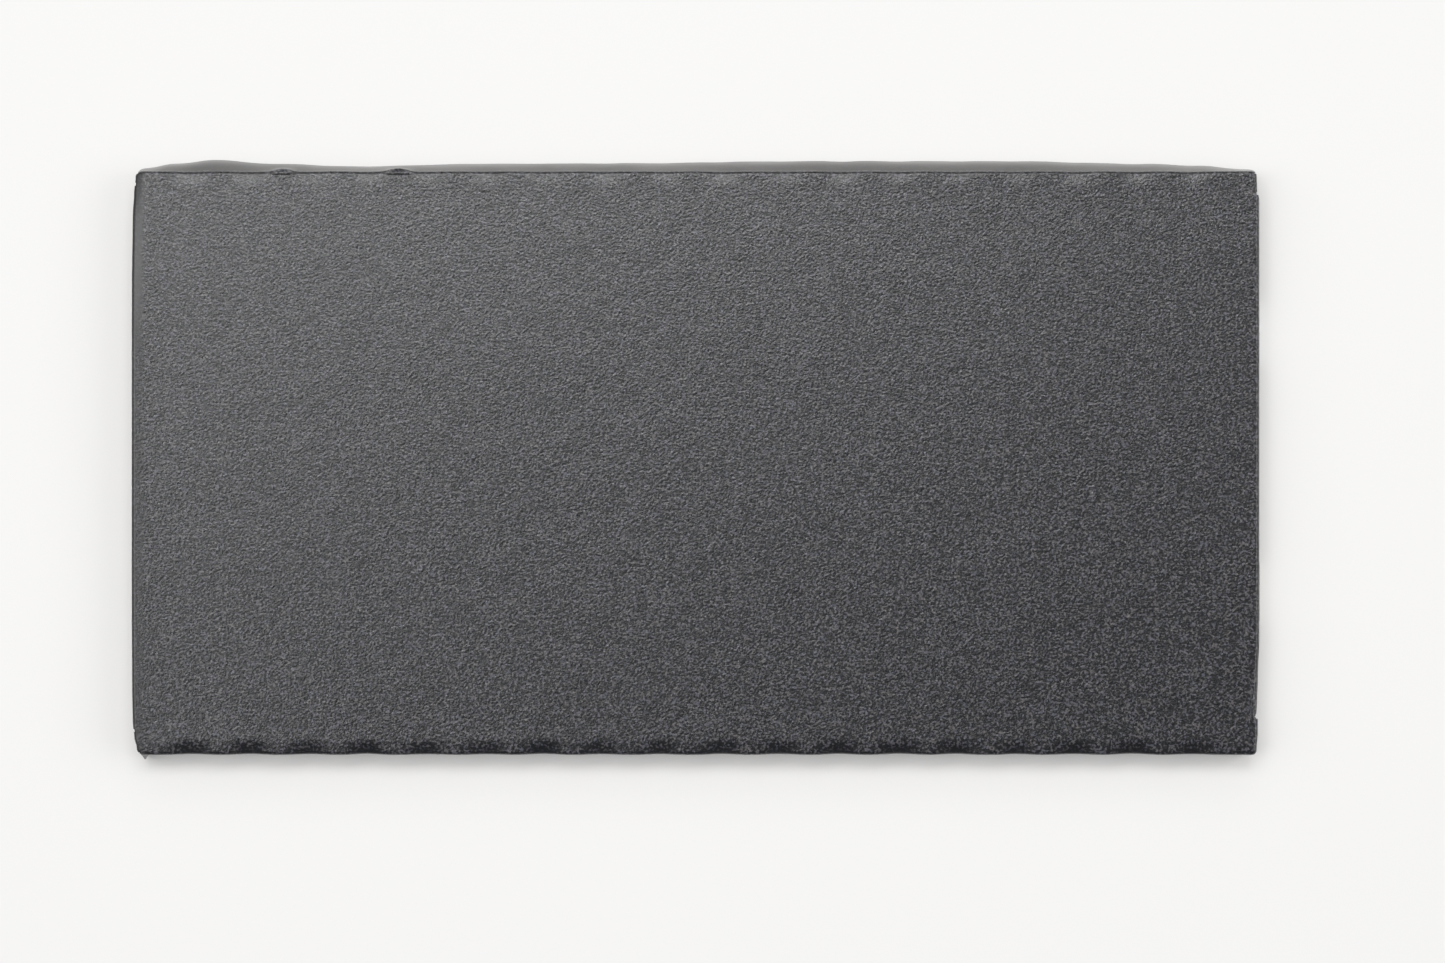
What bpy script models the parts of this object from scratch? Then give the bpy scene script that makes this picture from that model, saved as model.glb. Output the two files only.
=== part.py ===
"""Pouch battery cell, lying flat with its flat cover sheet on top and its drawn cup below.

Two sheets of aluminium laminate hold a stack of electrode sheets. The sheets are heat-sealed
together all round, and the sealed rim is folded down over the cup's walls: two long side wings,
a plain flap at the -X end, and the terrace flap at the +X end, which the two tabs come out of.
The tabs are bent back up over the terrace, so that their contact lands face +X.

Sizes are in metres. The origin is the centre of the flat underside, +X points to the tab end,
and +Z points up through the cover.
"""

import math

import bmesh
import bpy
from mathutils import Matrix, Vector

MM = 0.001

# Driving dimensions of the whole cell
LENGTH = 95.6 * MM  # fold line to fold line, along X
WIDTH = 49.4 * MM  # fold line to fold line, along Y
THICKNESS = 4.0 * MM
LAMINATE = 0.15 * MM  # one sheet of pouch laminate
HALF_LENGTH = LENGTH / 2
HALF_WIDTH = WIDTH / 2

# Clearances between pieces that touch or are bonded in the real cell
FIT = 0.02 * MM
GLUE_GAP = 0.18 * MM  # between the cup wall and its folded rim

# The folded rim
FOLD_RADIUS = 0.38 * MM  # outside of the cover's fold
TURN_RADIUS = 0.06 * MM  # inside of the cup's two bends over its rim
RIM_CORNER = 0.8 * MM  # seen from above
RIM_BOTTOM = 0.45 * MM  # height of the wings' cut edge
TERRACE_BOTTOM = 0.95 * MM  # height of the terrace's cut edge
RIM_SLIT = 0.25 * MM  # between an end flap and the ears of the side wings
TERRACE_SPAN = (-21.5 * MM, 22.7 * MM)
PLAIN_FLAP_SPAN = (-22.6 * MM, 23.5 * MM)
# How far the back wing's cut edge leans out: place along X and reach
WING_REACH = (
    (-47.0 * MM, 0.45 * MM),
    (-44.5 * MM, 0.85 * MM),
    (-41.2 * MM, 1.15 * MM),
    (-35.5 * MM, 0.82 * MM),
    (-29.0 * MM, 0.61 * MM),
    (-18.0 * MM, 0.84 * MM),
    (-5.0 * MM, 0.88 * MM),
    (8.0 * MM, 1.05 * MM),
    (27.0 * MM, 1.05 * MM),
    (38.0 * MM, 0.84 * MM),
    (43.0 * MM, 0.68 * MM),
    (47.0 * MM, 0.35 * MM),
)

# Where the pouch's back side has stations
WING_STATIONS = 46
WING_PLACES = [(-45.0 + 90.0 * i / (WING_STATIONS - 1)) * MM for i in range(WING_STATIONS)]

# The drawn cup
CUP_CORNER = 1.4 * MM  # seen from above
END_KNEE = 20.0 * MM  # past this, stations on the ends close up to stay off the cup's corners
CUP_BASE_RADIUS = 0.8 * MM

# Tabs and their sealing films
TAB_THICKNESS = 0.10 * MM
TAB_WIDTH = 5.0 * MM
TAB_PLACE = 11.0 * MM  # each tab's centre from the middle of the cell
FILM_THICKNESS = 0.08 * MM
FILM_WIDTH = 9.0 * MM
FILM_BOTTOM = 0.62 * MM
FILM_START_X = 46.2 * MM
TAB_TURN_Z = 0.40 * MM  # height of the centre of the tab's turn back up
TAB_LAND_TOP = 2.60 * MM
TERRACE_TAPE = 0.06 * MM
TERRACE_TAPE_Z = (0.98 * MM, 3.45 * MM)
# The stack of tab and films in the terrace takes this much room
TAB_ROOM = 2 * FILM_THICKNESS + TAB_THICKNESS + 3 * FIT
TAB_ZONE_EDGE = FILM_WIDTH / 2 + 0.2 * MM
TAB_ZONE_BLEND = 1.0 * MM

# Electrode stack
CATHODES = 9
ANODES = CATHODES + 1
ANODE_THICKNESS = 0.145 * MM
CATHODE_THICKNESS = 0.125 * MM
SEPARATOR_THICKNESS = 0.020 * MM
LAYER_GAP = 0.015 * MM
ANODE_X = (-46.0 * MM, 41.8 * MM)
CATHODE_X = (-45.5 * MM, 41.3 * MM)
SEPARATOR_X = (-46.4 * MM, 42.2 * MM)
ANODE_HALF_WIDTH = 22.6 * MM
CATHODE_HALF_WIDTH = 22.1 * MM
SEPARATOR_HALF_WIDTH = 23.0 * MM
SHEET_CORNER = 1.0 * MM
LUG_WIDTH = 5.0 * MM
LUG_THICKNESS = 0.020 * MM
LUG_PITCH = 0.032 * MM  # in the welded pile
LUG_BEND_X = 42.4 * MM
LUG_SLOPE = math.tan(math.radians(60))
LUG_END_X = 45.3 * MM
WELD_MIDDLE_Z = 3.10 * MM
TAB_START_X = 44.05 * MM
TAB_RISE_X = (45.55 * MM, 46.15 * MM)
WELD_TAPE = 0.04 * MM
WELD_TAPE_X = (44.15 * MM, 45.25 * MM)
WELD_TAPE_HALF_WIDTH = 3.2 * MM
STACK_TAPE = 0.04 * MM
STACK_TAPE_WIDTH = 14.0 * MM
STACK_TAPE_REACH = 4.0 * MM
STACK_TAPE_PLACE = 26.0 * MM

# Hot-melt beads behind the side wings
GLUE_PITCH = 5.0 * MM
GLUE_SPOTS = 18
GLUE_START_X = -42.8 * MM
GLUE_MIDDLE_Z = 2.05 * MM
GLUE_THIN = 0.35 * MM  # half height between the spots
GLUE_FAT = 0.95 * MM  # half height at a spot
GLUE_STEPS = 6  # stations per pitch
WEDGE_SPARE = 0.06 * MM  # more room beside the leaning wing, whose faces twist
END_GLUE_Z = (1.15 * MM, 3.00 * MM)
END_GLUE_HALF_WIDTH = 20.5 * MM

ARC_STEPS = 4
POUCH_ARC_STEPS = 3
CORNER_STEPS = 4

CAVITY_FLOOR = LAMINATE
CAVITY_ROOF = THICKNESS - LAMINATE
SEAL_TOP = CAVITY_ROOF - FIT  # top of the cup's rim where it meets the cover
CUP_TURN = LAMINATE + TURN_RADIUS  # outside of the cup's two bends over its rim
# From the outside of the fold to the outside of the cup's wall
WALL_INSET = 2 * LAMINATE + FIT + GLUE_GAP

FINISHES = {  # colour, roughness, metallic
    "laminate": ((0.035, 0.035, 0.037), 0.50, 0.0),
    "anode": ((0.030, 0.030, 0.032), 0.85, 0.0),
    "cathode": ((0.055, 0.050, 0.048), 0.80, 0.0),
    "separator": ((0.85, 0.85, 0.84), 0.60, 0.0),
    "aluminium_tab": ((0.80, 0.81, 0.83), 0.35, 1.0),
    "nickel_tab": ((0.66, 0.63, 0.58), 0.32, 1.0),
    "seal_film": ((0.08, 0.08, 0.08), 0.45, 0.0),
    "weld_tape": ((0.55, 0.28, 0.06), 0.35, 0.0),
    "stack_tape": ((0.06, 0.35, 0.16), 0.40, 0.0),
    "black_tape": ((0.020, 0.020, 0.021), 0.45, 0.0),
    "hot_melt": ((0.72, 0.66, 0.50), 0.40, 0.0),
}


def clear_scene():
    """Removes every object that the file starts with."""
    for obj in list(bpy.data.objects):
        bpy.data.objects.remove(obj, do_unlink=True)


def make_material(name, finish):
    """A plain material with the piece's own colour, roughness and metallic value."""
    colour, roughness, metallic = FINISHES[finish]
    material = bpy.data.materials.new(name)
    material.use_nodes = True
    shader = material.node_tree.nodes["Principled BSDF"]
    shader.inputs["Base Color"].default_value = (*colour, 1.0)
    shader.inputs["Roughness"].default_value = roughness
    shader.inputs["Metallic"].default_value = metallic
    return material


def make_group(name, parent=None):
    """An empty that holds the pieces of one sub-assembly."""
    empty = bpy.data.objects.new(name, None)
    empty.parent = parent
    bpy.context.collection.objects.link(empty)
    return empty


def make_object(name, bm, finish, parent, location=(0.0, 0.0, 0.0)):
    """Turns a bmesh into a named, shaded object with its own material."""
    bmesh.ops.recalc_face_normals(bm, faces=bm.faces)
    mesh = bpy.data.meshes.new(name)
    bm.to_mesh(mesh)
    bm.free()
    mesh.shade_smooth()
    mesh.set_sharp_from_angle(angle=math.radians(40))
    mesh.materials.append(make_material(name, finish))
    obj = bpy.data.objects.new(name, mesh)
    obj.parent = parent
    obj.location = location
    bpy.context.collection.objects.link(obj)
    return obj


def smooth_step(value):
    """0 below 0, 1 above 1, and a smooth blend between."""
    value = min(max(value, 0.0), 1.0)
    return value * value * (3 - 2 * value)


def eased(place, table):
    """A value read from (place, value) pairs with smooth blends between them."""
    if place <= table[0][0]:
        return table[0][1]
    for (start, low), (end, high) in zip(table, table[1:]):
        if place <= end:
            return low + (high - low) * smooth_step((place - start) / (end - start))
    return table[-1][1]


# Ribbons: a flat strip bent along a path in one plane


def filleted(corners, radius, steps=ARC_STEPS):
    """A 2D path through the corners, each inner corner rounded to the radius."""
    path = [Vector(corners[0])]
    for before, here, after in zip(corners, corners[1:], corners[2:]):
        here = Vector(here)
        back = (Vector(before) - here).normalized()
        ahead = (Vector(after) - here).normalized()
        half = back.angle(ahead) / 2
        run = radius / math.tan(half)
        centre = here + (back + ahead).normalized() * (radius / math.sin(half))
        start = here + back * run - centre
        sweep = start.angle_signed(here + ahead * run - centre)
        for step in range(steps + 1):
            turned = start.copy()
            turned.rotate(Matrix.Rotation(-sweep * step / steps, 2))
            path.append(centre + turned)
    path.append(Vector(corners[-1]))
    return path


def offset_path(path, distance):
    """The path moved sideways by the distance, with mitred corners."""
    moved = []
    for i, here in enumerate(path):
        back = (here - path[i - 1]).normalized() if i else None
        ahead = (path[i + 1] - here).normalized() if i + 1 < len(path) else None
        back = back or ahead
        ahead = ahead or back
        side_a = Vector((-back.y, back.x))
        side_b = Vector((-ahead.y, ahead.x))
        mitre = (side_a + side_b).normalized()
        moved.append(here + mitre * (distance / mitre.dot(side_a)))
    return moved


def ribbon(path, thickness, low, high, place):
    """A closed strip: the path thickened in its plane and extruded from low to high.

    place(u, v, w) gives the 3D point, with u and v in the path's plane and w across it.
    """
    left = offset_path(path, thickness / 2)
    right = offset_path(path, -thickness / 2)
    bm = bmesh.new()
    rows = [
        [bm.verts.new(place(p.x, p.y, w)) for p in side]
        for side, w in ((left, low), (left, high), (right, high), (right, low))
    ]
    for row, following in zip(rows, rows[1:] + rows[:1]):
        for i in range(len(path) - 1):
            bm.faces.new((row[i], row[i + 1], following[i + 1], following[i]))
    for end in (0, -1):
        bm.faces.new([row[end] for row in rows])
    return bm


def in_xz(u, v, w):
    """A ribbon bent in the XZ plane, its width along Y."""
    return (u, w, v)


def in_yz(u, v, w):
    """A ribbon bent in the YZ plane, its width along X."""
    return (w, u, v)


def block(size, corner=0.0):
    """A plate centred on the origin, its four upright edges rounded."""
    bm = bmesh.new()
    bmesh.ops.create_cube(bm, size=1.0)
    bmesh.ops.scale(bm, vec=size, verts=bm.verts)
    if corner:
        upright = [e for e in bm.edges if abs(e.verts[0].co.z - e.verts[1].co.z) > size[2] / 2]
        bmesh.ops.bevel(
            bm, geom=upright, offset=corner, segments=CORNER_STEPS, affect="EDGES", profile=0.5
        )
    return bm


# The pouch


def squeezed(place, limit):
    """A station's Y place, moved in where it would pass the straight part of a ring's end."""
    if abs(place) <= END_KNEE:
        return place
    share = (abs(place) - END_KNEE) / (HALF_WIDTH - RIM_CORNER - END_KNEE)
    return math.copysign(END_KNEE + share * (limit - END_KNEE), place)


def ring(low_x, high_x, half_y, radius):
    """Points round a rounded rectangle, anticlockwise from the +X side, each with its normal."""
    points = []
    right, back = high_x - radius, half_y - radius
    left, front = low_x + radius, radius - half_y
    sides = (
        ([(high_x, squeezed(y, back)) for y in terrace_places()], (1, 0), (right, back), 0),
        ([(x, half_y) for x in reversed(WING_PLACES)], (0, 1), (left, back), 90),
        ([(low_x, squeezed(y, back)) for y in plain_flap_places()], (-1, 0), (left, front), 180),
        ([(0.0, -half_y)], (0, -1), (right, front), 270),
    )
    for places, normal, centre, start in sides:
        points += [(Vector(at), Vector(normal)) for at in places]
        for step in range(CORNER_STEPS + 1):
            angle = math.radians(start + 90 * step / CORNER_STEPS)
            out = Vector((math.cos(angle), math.sin(angle)))
            points.append((Vector(centre) + out * radius, out))
    return points


def tab_zone(y):
    """1 where the terrace holds a tab and its films, 0 away from them."""
    return max(
        smooth_step((TAB_ZONE_EDGE + TAB_ZONE_BLEND - abs(y - side * TAB_PLACE)) / TAB_ZONE_BLEND)
        for side in (-1, 1)
    )


def slit_places(span):
    """Y places of both edges of the two slits beside an end flap."""
    low, high = span
    return [low - RIM_SLIT, low, high, high + RIM_SLIT]


def plain_flap_places():
    """Y places of the pouch's stations on its -X end, from back to front."""
    return sorted([0.0] + slit_places(PLAIN_FLAP_SPAN), reverse=True)


def terrace_places():
    """Y places of the pouch's stations on its +X end, from front to back."""
    places = [0.0] + slit_places(TERRACE_SPAN)
    for side in (-1, 1):
        for reach in (TAB_ZONE_EDGE, TAB_ZONE_EDGE + TAB_ZONE_BLEND / 2, TAB_ZONE_EDGE + TAB_ZONE_BLEND):
            places += [side * TAB_PLACE - reach, side * TAB_PLACE + reach]
    return sorted(places)


def wing_lean(point, normal):
    """The angle that the rim leans out by: only the back wing stands off the cup."""
    straight = HALF_WIDTH - RIM_CORNER
    if point.y < straight or normal.y <= 0:
        return 0.0
    depth = THICKNESS - FOLD_RADIUS - RIM_BOTTOM
    reach = eased(point.x, WING_REACH) * normal.y**2
    return math.atan2(reach, depth)


def wing_slope(x):
    """How far the back wing leans out for each metre down, straight between its stations."""
    out = Vector((0, 1))
    slopes = [math.tan(wing_lean(Vector((place, HALF_WIDTH)), out)) for place in WING_PLACES]
    for i, end in enumerate(WING_PLACES[1:]):
        if x <= end:
            share = (x - WING_PLACES[i]) / (end - WING_PLACES[i])
            return slopes[i] + (slopes[i + 1] - slopes[i]) * share
    return slopes[-1]


def rim_bottom(point, normal):
    """Height of the rim's cut edge."""
    low, high = TERRACE_SPAN
    on_terrace = normal.x > 0.99 and low - FIT < point.y < high + FIT
    return TERRACE_BOTTOM if on_terrace else RIM_BOTTOM


def is_slit(a, b):
    """Whether the stretch of rim between two stations is cut away."""
    (here, normal), (following, _) = a, b
    if abs(normal.x) < 0.99 or abs(here.x - following.x) > FIT:
        return False
    middle = (here.y + following.y) / 2
    low, high = TERRACE_SPAN if normal.x > 0 else PLAIN_FLAP_SPAN
    return any(0 < side < RIM_SLIT for side in (low - middle, middle - high))


def arc(centre, normal, z, radius, start, end):
    """Points on an upright arc: angle 0 points out along the normal, and a quarter turn up."""
    points = []
    for step in range(POUCH_ARC_STEPS + 1):
        angle = start + (end - start) * step / POUCH_ARC_STEPS
        at = centre + normal * (radius * math.cos(angle))
        points.append((at.x, at.y, z + radius * math.sin(angle)))
    return points


def rim_edge(centre, normal, z, radius, lean, bottom):
    """The point on the rim's cut edge, straight on from the end of its fold."""
    start = centre + normal * (radius * math.cos(lean))
    start_z = z + radius * math.sin(lean)
    run = start_z - bottom
    at = start + normal * (run * math.tan(lean))
    return (at.x, at.y, bottom)


def cover_section(point, normal, inner):
    """The cover's outer or inner surface at one station, from its flat face to its cut edge."""
    lean = wing_lean(point, normal)
    radius = FOLD_RADIUS - (LAMINATE if inner else 0.0)
    centre = point - normal * FOLD_RADIUS
    z = THICKNESS - FOLD_RADIUS
    rows = arc(centre, normal, z, radius, math.pi / 2, lean)
    rows.append(rim_edge(centre, normal, z, radius, lean, rim_bottom(point, normal)))
    return rows


def cup_section(rim, wall, inner):
    """One of the cup's surfaces at one station, from its base up its wall and down its rim."""
    (point, normal), (foot, foot_normal) = rim, wall
    on_end = normal.x > 0.99
    drop = TAB_ROOM * tab_zone(point.y) if on_end else 0.0
    lean = wing_lean(point, normal)
    thick = LAMINATE if inner else 0.0
    base_radius = CUP_BASE_RADIUS - thick
    turn_radius = TURN_RADIUS + thick
    base_centre = foot - foot_normal * CUP_BASE_RADIUS
    rows = arc(base_centre, foot_normal, CUP_BASE_RADIUS, base_radius, -math.pi / 2, 0)
    top_z = SEAL_TOP - drop - CUP_TURN
    wall_centre = foot + foot_normal * TURN_RADIUS
    rows += arc(wall_centre, foot_normal, top_z, turn_radius, math.pi, math.pi / 2)
    rim_centre = point - normal * (FOLD_RADIUS + drop)
    rows += arc(rim_centre, normal, top_z, turn_radius, math.pi / 2, lean)
    rows.append(rim_edge(rim_centre, normal, top_z, turn_radius, lean, rim_bottom(point, normal)))
    return rows


def folded_sheet(outer, inner, slits):
    """A closed sheet from its two surfaces, each a list of stations of points.

    Row 0 bounds the flat middle, the last row is the cut edge, and a slit leaves out the
    stretch between the last two rows after its station.
    """
    bm = bmesh.new()
    grids = [[[bm.verts.new(p) for p in station] for station in side] for side in (outer, inner)]
    count = len(outer)
    last = len(outer[0]) - 1
    for side in grids:
        bm.faces.new([station[0] for station in side])
        for i in range(count):
            here, following = side[i], side[(i + 1) % count]
            for row in range(last - 1 if slits[i] else last):
                bm.faces.new((here[row], following[row], following[row + 1], here[row + 1]))
    for i in range(count):
        j = (i + 1) % count
        (a, b), (c, d) = ((side[i], side[j]) for side in grids)
        row = last - 1 if slits[i] else last
        bm.faces.new((a[row], b[row], d[row], c[row]))
        if slits[i]:
            bm.faces.new((a[last - 1], a[last], c[last], c[last - 1]))
            bm.faces.new((b[last - 1], b[last], d[last], d[last - 1]))
    bmesh.ops.triangulate(bm, faces=[f for f in bm.faces if len(f.verts) > 4], ngon_method="BEAUTY")
    return bm


def make_pouch(parent):
    """The cover sheet and the cup, with the rim folded down all round."""
    rim = ring(-HALF_LENGTH, HALF_LENGTH, HALF_WIDTH, RIM_CORNER)
    wall_low_x = WALL_INSET - HALF_LENGTH
    wall_high_x = HALF_LENGTH - WALL_INSET - TAB_ROOM
    wall = ring(wall_low_x, wall_high_x, HALF_WIDTH - WALL_INSET, CUP_CORNER)
    slits = [is_slit(rim[i], rim[(i + 1) % len(rim)]) for i in range(len(rim))]
    cover = [[cover_section(p, n, inner) for p, n in rim] for inner in (False, True)]
    make_object("pouch_cover", folded_sheet(*cover, slits), "laminate", parent)
    cup = [[cup_section(r, w, inner) for r, w in zip(rim, wall)] for inner in (False, True)]
    make_object("pouch_cup", folded_sheet(*cup, slits), "laminate", parent)


# Glue


def glue_half_height(x):
    """Half the bead's height: fat at each spot, thin between."""
    phase = (x - GLUE_START_X) / GLUE_PITCH
    swell = (1 + math.cos(2 * math.pi * phase)) / 2
    return GLUE_THIN + (GLUE_FAT - GLUE_THIN) * swell


def make_side_glue(name, side, parent):
    """One hot-melt bead behind a side wing, swollen at each spot; side is -1 or 1 along Y."""
    wall = HALF_WIDTH - WALL_INSET + FIT
    rim = HALF_WIDTH - 2 * LAMINATE - 2 * FIT
    fold_z = THICKNESS - FOLD_RADIUS
    bm = bmesh.new()
    sections = []
    count = GLUE_SPOTS * GLUE_STEPS
    for i in range(count + 1):
        x = GLUE_START_X + GLUE_PITCH * (i / GLUE_STEPS - 0.5)
        half = glue_half_height(x)
        lean = wing_slope(x) if side > 0 else 0.0
        spare = WEDGE_SPARE if side > 0 else 0.0
        low, high = GLUE_MIDDLE_Z - half, GLUE_MIDDLE_Z + half
        corners = (
            (wall, low),
            (wall, high),
            (rim - spare + lean * (fold_z - high), high),
            (rim - spare + lean * (fold_z - low), low),
        )
        sections.append([bm.verts.new((x, side * y, z)) for y, z in corners])
    for here, following in zip(sections, sections[1:]):
        for i in range(4):
            j = (i + 1) % 4
            bm.faces.new((here[i], here[j], following[j], following[i]))
    bm.faces.new(sections[0])
    bm.faces.new(sections[-1])
    make_object(name, bm, "hot_melt", parent)


def make_end_glue(name, side, parent):
    """A thin pad behind an end flap; side is -1 or 1 along X."""
    thick = GLUE_GAP - 2 * FIT
    low, high = END_GLUE_Z
    room = TAB_ROOM if side > 0 else 0.0
    bm = block((high - low, 2 * END_GLUE_HALF_WIDTH, thick), corner=0.4 * MM)
    x = HALF_LENGTH - WALL_INSET - room + FIT + thick / 2
    pad = make_object(name, bm, "hot_melt", parent, (side * x, 0.0, (low + high) / 2))
    pad.rotation_euler = (0.0, math.radians(90), 0.0)


# Tabs, their films and the tapes on them


def terrace_path(depth, start, bottom, fillet):
    """A path at a depth inside the cover's inner face: along its roof and down the terrace."""
    x = HALF_LENGTH - LAMINATE - depth
    z = CAVITY_ROOF - depth
    return filleted(((start, z), (x, z), (x, bottom)), fillet)


def make_tab(name, side, pile_top, finish, parent):
    """A tab: welded end, rise to the seal, down through the terrace, and back up outside it."""
    depth = FIT + FILM_THICKNESS + FIT + TAB_THICKNESS / 2
    x = HALF_LENGTH - LAMINATE - depth
    z = CAVITY_ROOF - depth
    weld_z = pile_top + FIT + TAB_THICKNESS / 2
    outside = HALF_LENGTH + FIT + TERRACE_TAPE + FIT + TAB_THICKNESS / 2
    turn = (outside - x) / 2
    inside = filleted(
        ((TAB_START_X, weld_z), (TAB_RISE_X[0], weld_z), (TAB_RISE_X[1], z), (x, z), (x, TAB_TURN_Z)),
        0.13 * MM,
    )
    back = filleted(
        (
            (x, TAB_TURN_Z),
            (x, TAB_TURN_Z - turn),
            (outside, TAB_TURN_Z - turn),
            (outside, TAB_LAND_TOP),
        ),
        turn * 0.999,
    )
    path = inside[:-1] + back
    path = [p for i, p in enumerate(path) if i == 0 or (p - path[i - 1]).length > 0.001 * MM]
    bm = ribbon(path, TAB_THICKNESS, -TAB_WIDTH / 2, TAB_WIDTH / 2, in_xz)
    make_object(name, bm, finish, parent, (0.0, side * TAB_PLACE, 0.0))


def make_films(pole, side, parent):
    """The two sealing films that sandwich a tab inside the terrace."""
    outer = terrace_path(FIT + FILM_THICKNESS / 2, FILM_START_X, FILM_BOTTOM, 0.17 * MM)
    deep = FIT + FILM_THICKNESS + 2 * FIT + TAB_THICKNESS + FILM_THICKNESS / 2
    inner = terrace_path(deep, FILM_START_X, FILM_BOTTOM, 0.10 * MM)
    for layer, path in (("outer", outer), ("inner", inner)):
        bm = ribbon(path, FILM_THICKNESS, -FILM_WIDTH / 2, FILM_WIDTH / 2, in_xz)
        name = f"seal_film_{pole}_{layer}"
        make_object(name, bm, "seal_film", parent, (0.0, side * TAB_PLACE, 0.0))


def make_weld_tape(name, side, pile, parent):
    """Insulating tape folded round the welded lugs and the end of the tab."""
    low, high = pile
    bottom = low - FIT - WELD_TAPE / 2
    top = high + FIT + TAB_THICKNESS + FIT + WELD_TAPE / 2
    half = WELD_TAPE_HALF_WIDTH
    path = filleted(((half, top), (-half, top), (-half, bottom), (half, bottom)), 0.15 * MM)
    bm = ribbon(path, WELD_TAPE, *WELD_TAPE_X, in_yz)
    make_object(name, bm, "weld_tape", parent, (0.0, side * TAB_PLACE, 0.0))


def make_terrace_tape(parent):
    """Black tape along the outside of the terrace, between it and the folded tabs."""
    low_z, high_z = TERRACE_TAPE_Z
    low_y, high_y = TERRACE_SPAN[0] + 0.1 * MM, TERRACE_SPAN[1] - 0.1 * MM
    bm = block((high_z - low_z, high_y - low_y, TERRACE_TAPE), corner=0.3 * MM)
    place = (HALF_LENGTH + FIT + TERRACE_TAPE / 2, (low_y + high_y) / 2, (low_z + high_z) / 2)
    tape = make_object("terrace_tape", bm, "black_tape", parent, place)
    tape.rotation_euler = (0.0, math.radians(90), 0.0)


# Electrode stack

PAIR_PITCH = ANODE_THICKNESS + CATHODE_THICKNESS + 2 * SEPARATOR_THICKNESS + 4 * LAYER_GAP
STACK_HEIGHT = (
    CATHODES * PAIR_PITCH + ANODE_THICKNESS + 2 * (SEPARATOR_THICKNESS + LAYER_GAP)
)
STACK_BOTTOM = (CAVITY_FLOOR + CAVITY_ROOF - STACK_HEIGHT) / 2


def anode_z(index):
    """Height of the middle of an anode sheet, counted from the bottom."""
    first = STACK_BOTTOM + SEPARATOR_THICKNESS + LAYER_GAP + ANODE_THICKNESS / 2
    return first + index * PAIR_PITCH


def cathode_z(index):
    """Height of the middle of a cathode sheet, counted from the bottom."""
    return anode_z(index) + PAIR_PITCH / 2


def lug_path(sheet_z, weld_z, start_x):
    """A lug's path from its sheet to its place in the welded pile."""
    rise = weld_z - sheet_z
    bend_end = LUG_BEND_X + abs(rise) / LUG_SLOPE
    return [(start_x, 0.0), (LUG_BEND_X, 0.0), (bend_end, rise), (LUG_END_X, rise)]


def electrode(span_x, half_width, thickness, lug_y, path):
    """A coated sheet with a bare foil lug on its +X edge, as one closed body."""
    low_x, high_x = span_x
    r = SHEET_CORNER
    outline = []
    for cx, cy, start in (
        (low_x + r, half_width - r, 90),
        (low_x + r, r - half_width, 180),
        (high_x - r, r - half_width, 270),
        (high_x - r, half_width - r, 0),
    ):
        if start == 0:
            root = len(outline)
            outline += [(high_x, lug_y - LUG_WIDTH / 2), (high_x, lug_y + LUG_WIDTH / 2)]
        for step in range(CORNER_STEPS + 1):
            angle = math.radians(start + 90 * step / CORNER_STEPS)
            outline.append((cx + r * math.cos(angle), cy + r * math.sin(angle)))
    bm = bmesh.new()
    base = [bm.verts.new((x, y, -thickness / 2)) for x, y in outline]
    top = [bm.verts.new((x, y, thickness / 2)) for x, y in outline]
    bm.faces.new(base)
    bm.faces.new(top)
    left = offset_path([Vector(p) for p in path], LUG_THICKNESS / 2)
    right = offset_path([Vector(p) for p in path], -LUG_THICKNESS / 2)
    sections = []
    for over, under in zip(left, right):
        edges = [(lug_y + s * LUG_WIDTH / 2) for s in (-1, 1)]
        sections.append([bm.verts.new((p.x, y, p.y)) for p in (under, over) for y in edges])
    for here, following in zip(sections, sections[1:]):
        for i, j in ((0, 1), (1, 3), (3, 2), (2, 0)):
            bm.faces.new((here[i], here[j], following[j], following[i]))
    bm.faces.new([sections[-1][i] for i in (0, 1, 3, 2)])
    under_a, under_b, over_a, over_b = sections[0]
    count = len(outline)
    for i in range(count):
        j = (i + 1) % count
        if i == root:
            bm.faces.new((base[i], base[j], under_b, under_a))
            bm.faces.new((over_a, over_b, top[j], top[i]))
        elif j == root:
            bm.faces.new((base[i], base[j], under_a, over_a, top[j], top[i]))
        elif i == root + 1:
            bm.faces.new((base[j], top[j], top[i], over_b, under_b, base[i]))
        else:
            bm.faces.new((base[i], base[j], top[j], top[i]))
    bmesh.ops.triangulate(bm, faces=[f for f in bm.faces if len(f.verts) > 4], ngon_method="BEAUTY")
    return bm


def pile_levels(count):
    """Heights of the lugs in a welded pile, bottom first."""
    middle = (count - 1) / 2
    return [WELD_MIDDLE_Z + (i - middle) * LUG_PITCH for i in range(count)]


def pile_span(count):
    """Bottom and top of a welded pile."""
    levels = pile_levels(count)
    return levels[0] - LUG_THICKNESS / 2, levels[-1] + LUG_THICKNESS / 2


def make_electrodes(parent):
    """Every anode and cathode sheet, each a piece of its own."""
    kinds = (
        ("anode", ANODES, anode_z, ANODE_X, ANODE_HALF_WIDTH, ANODE_THICKNESS, -1),
        ("cathode", CATHODES, cathode_z, CATHODE_X, CATHODE_HALF_WIDTH, CATHODE_THICKNESS, 1),
    )
    for kind, count, height, span_x, half_width, thickness, side in kinds:
        for index, weld_z in enumerate(pile_levels(count)):
            z = height(index)
            path = lug_path(z, weld_z, span_x[1])
            bm = electrode(span_x, half_width, thickness, side * TAB_PLACE, path)
            make_object(f"{kind}_sheet_{index + 1:02d}", bm, kind, parent, (0.0, 0.0, z))


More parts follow.
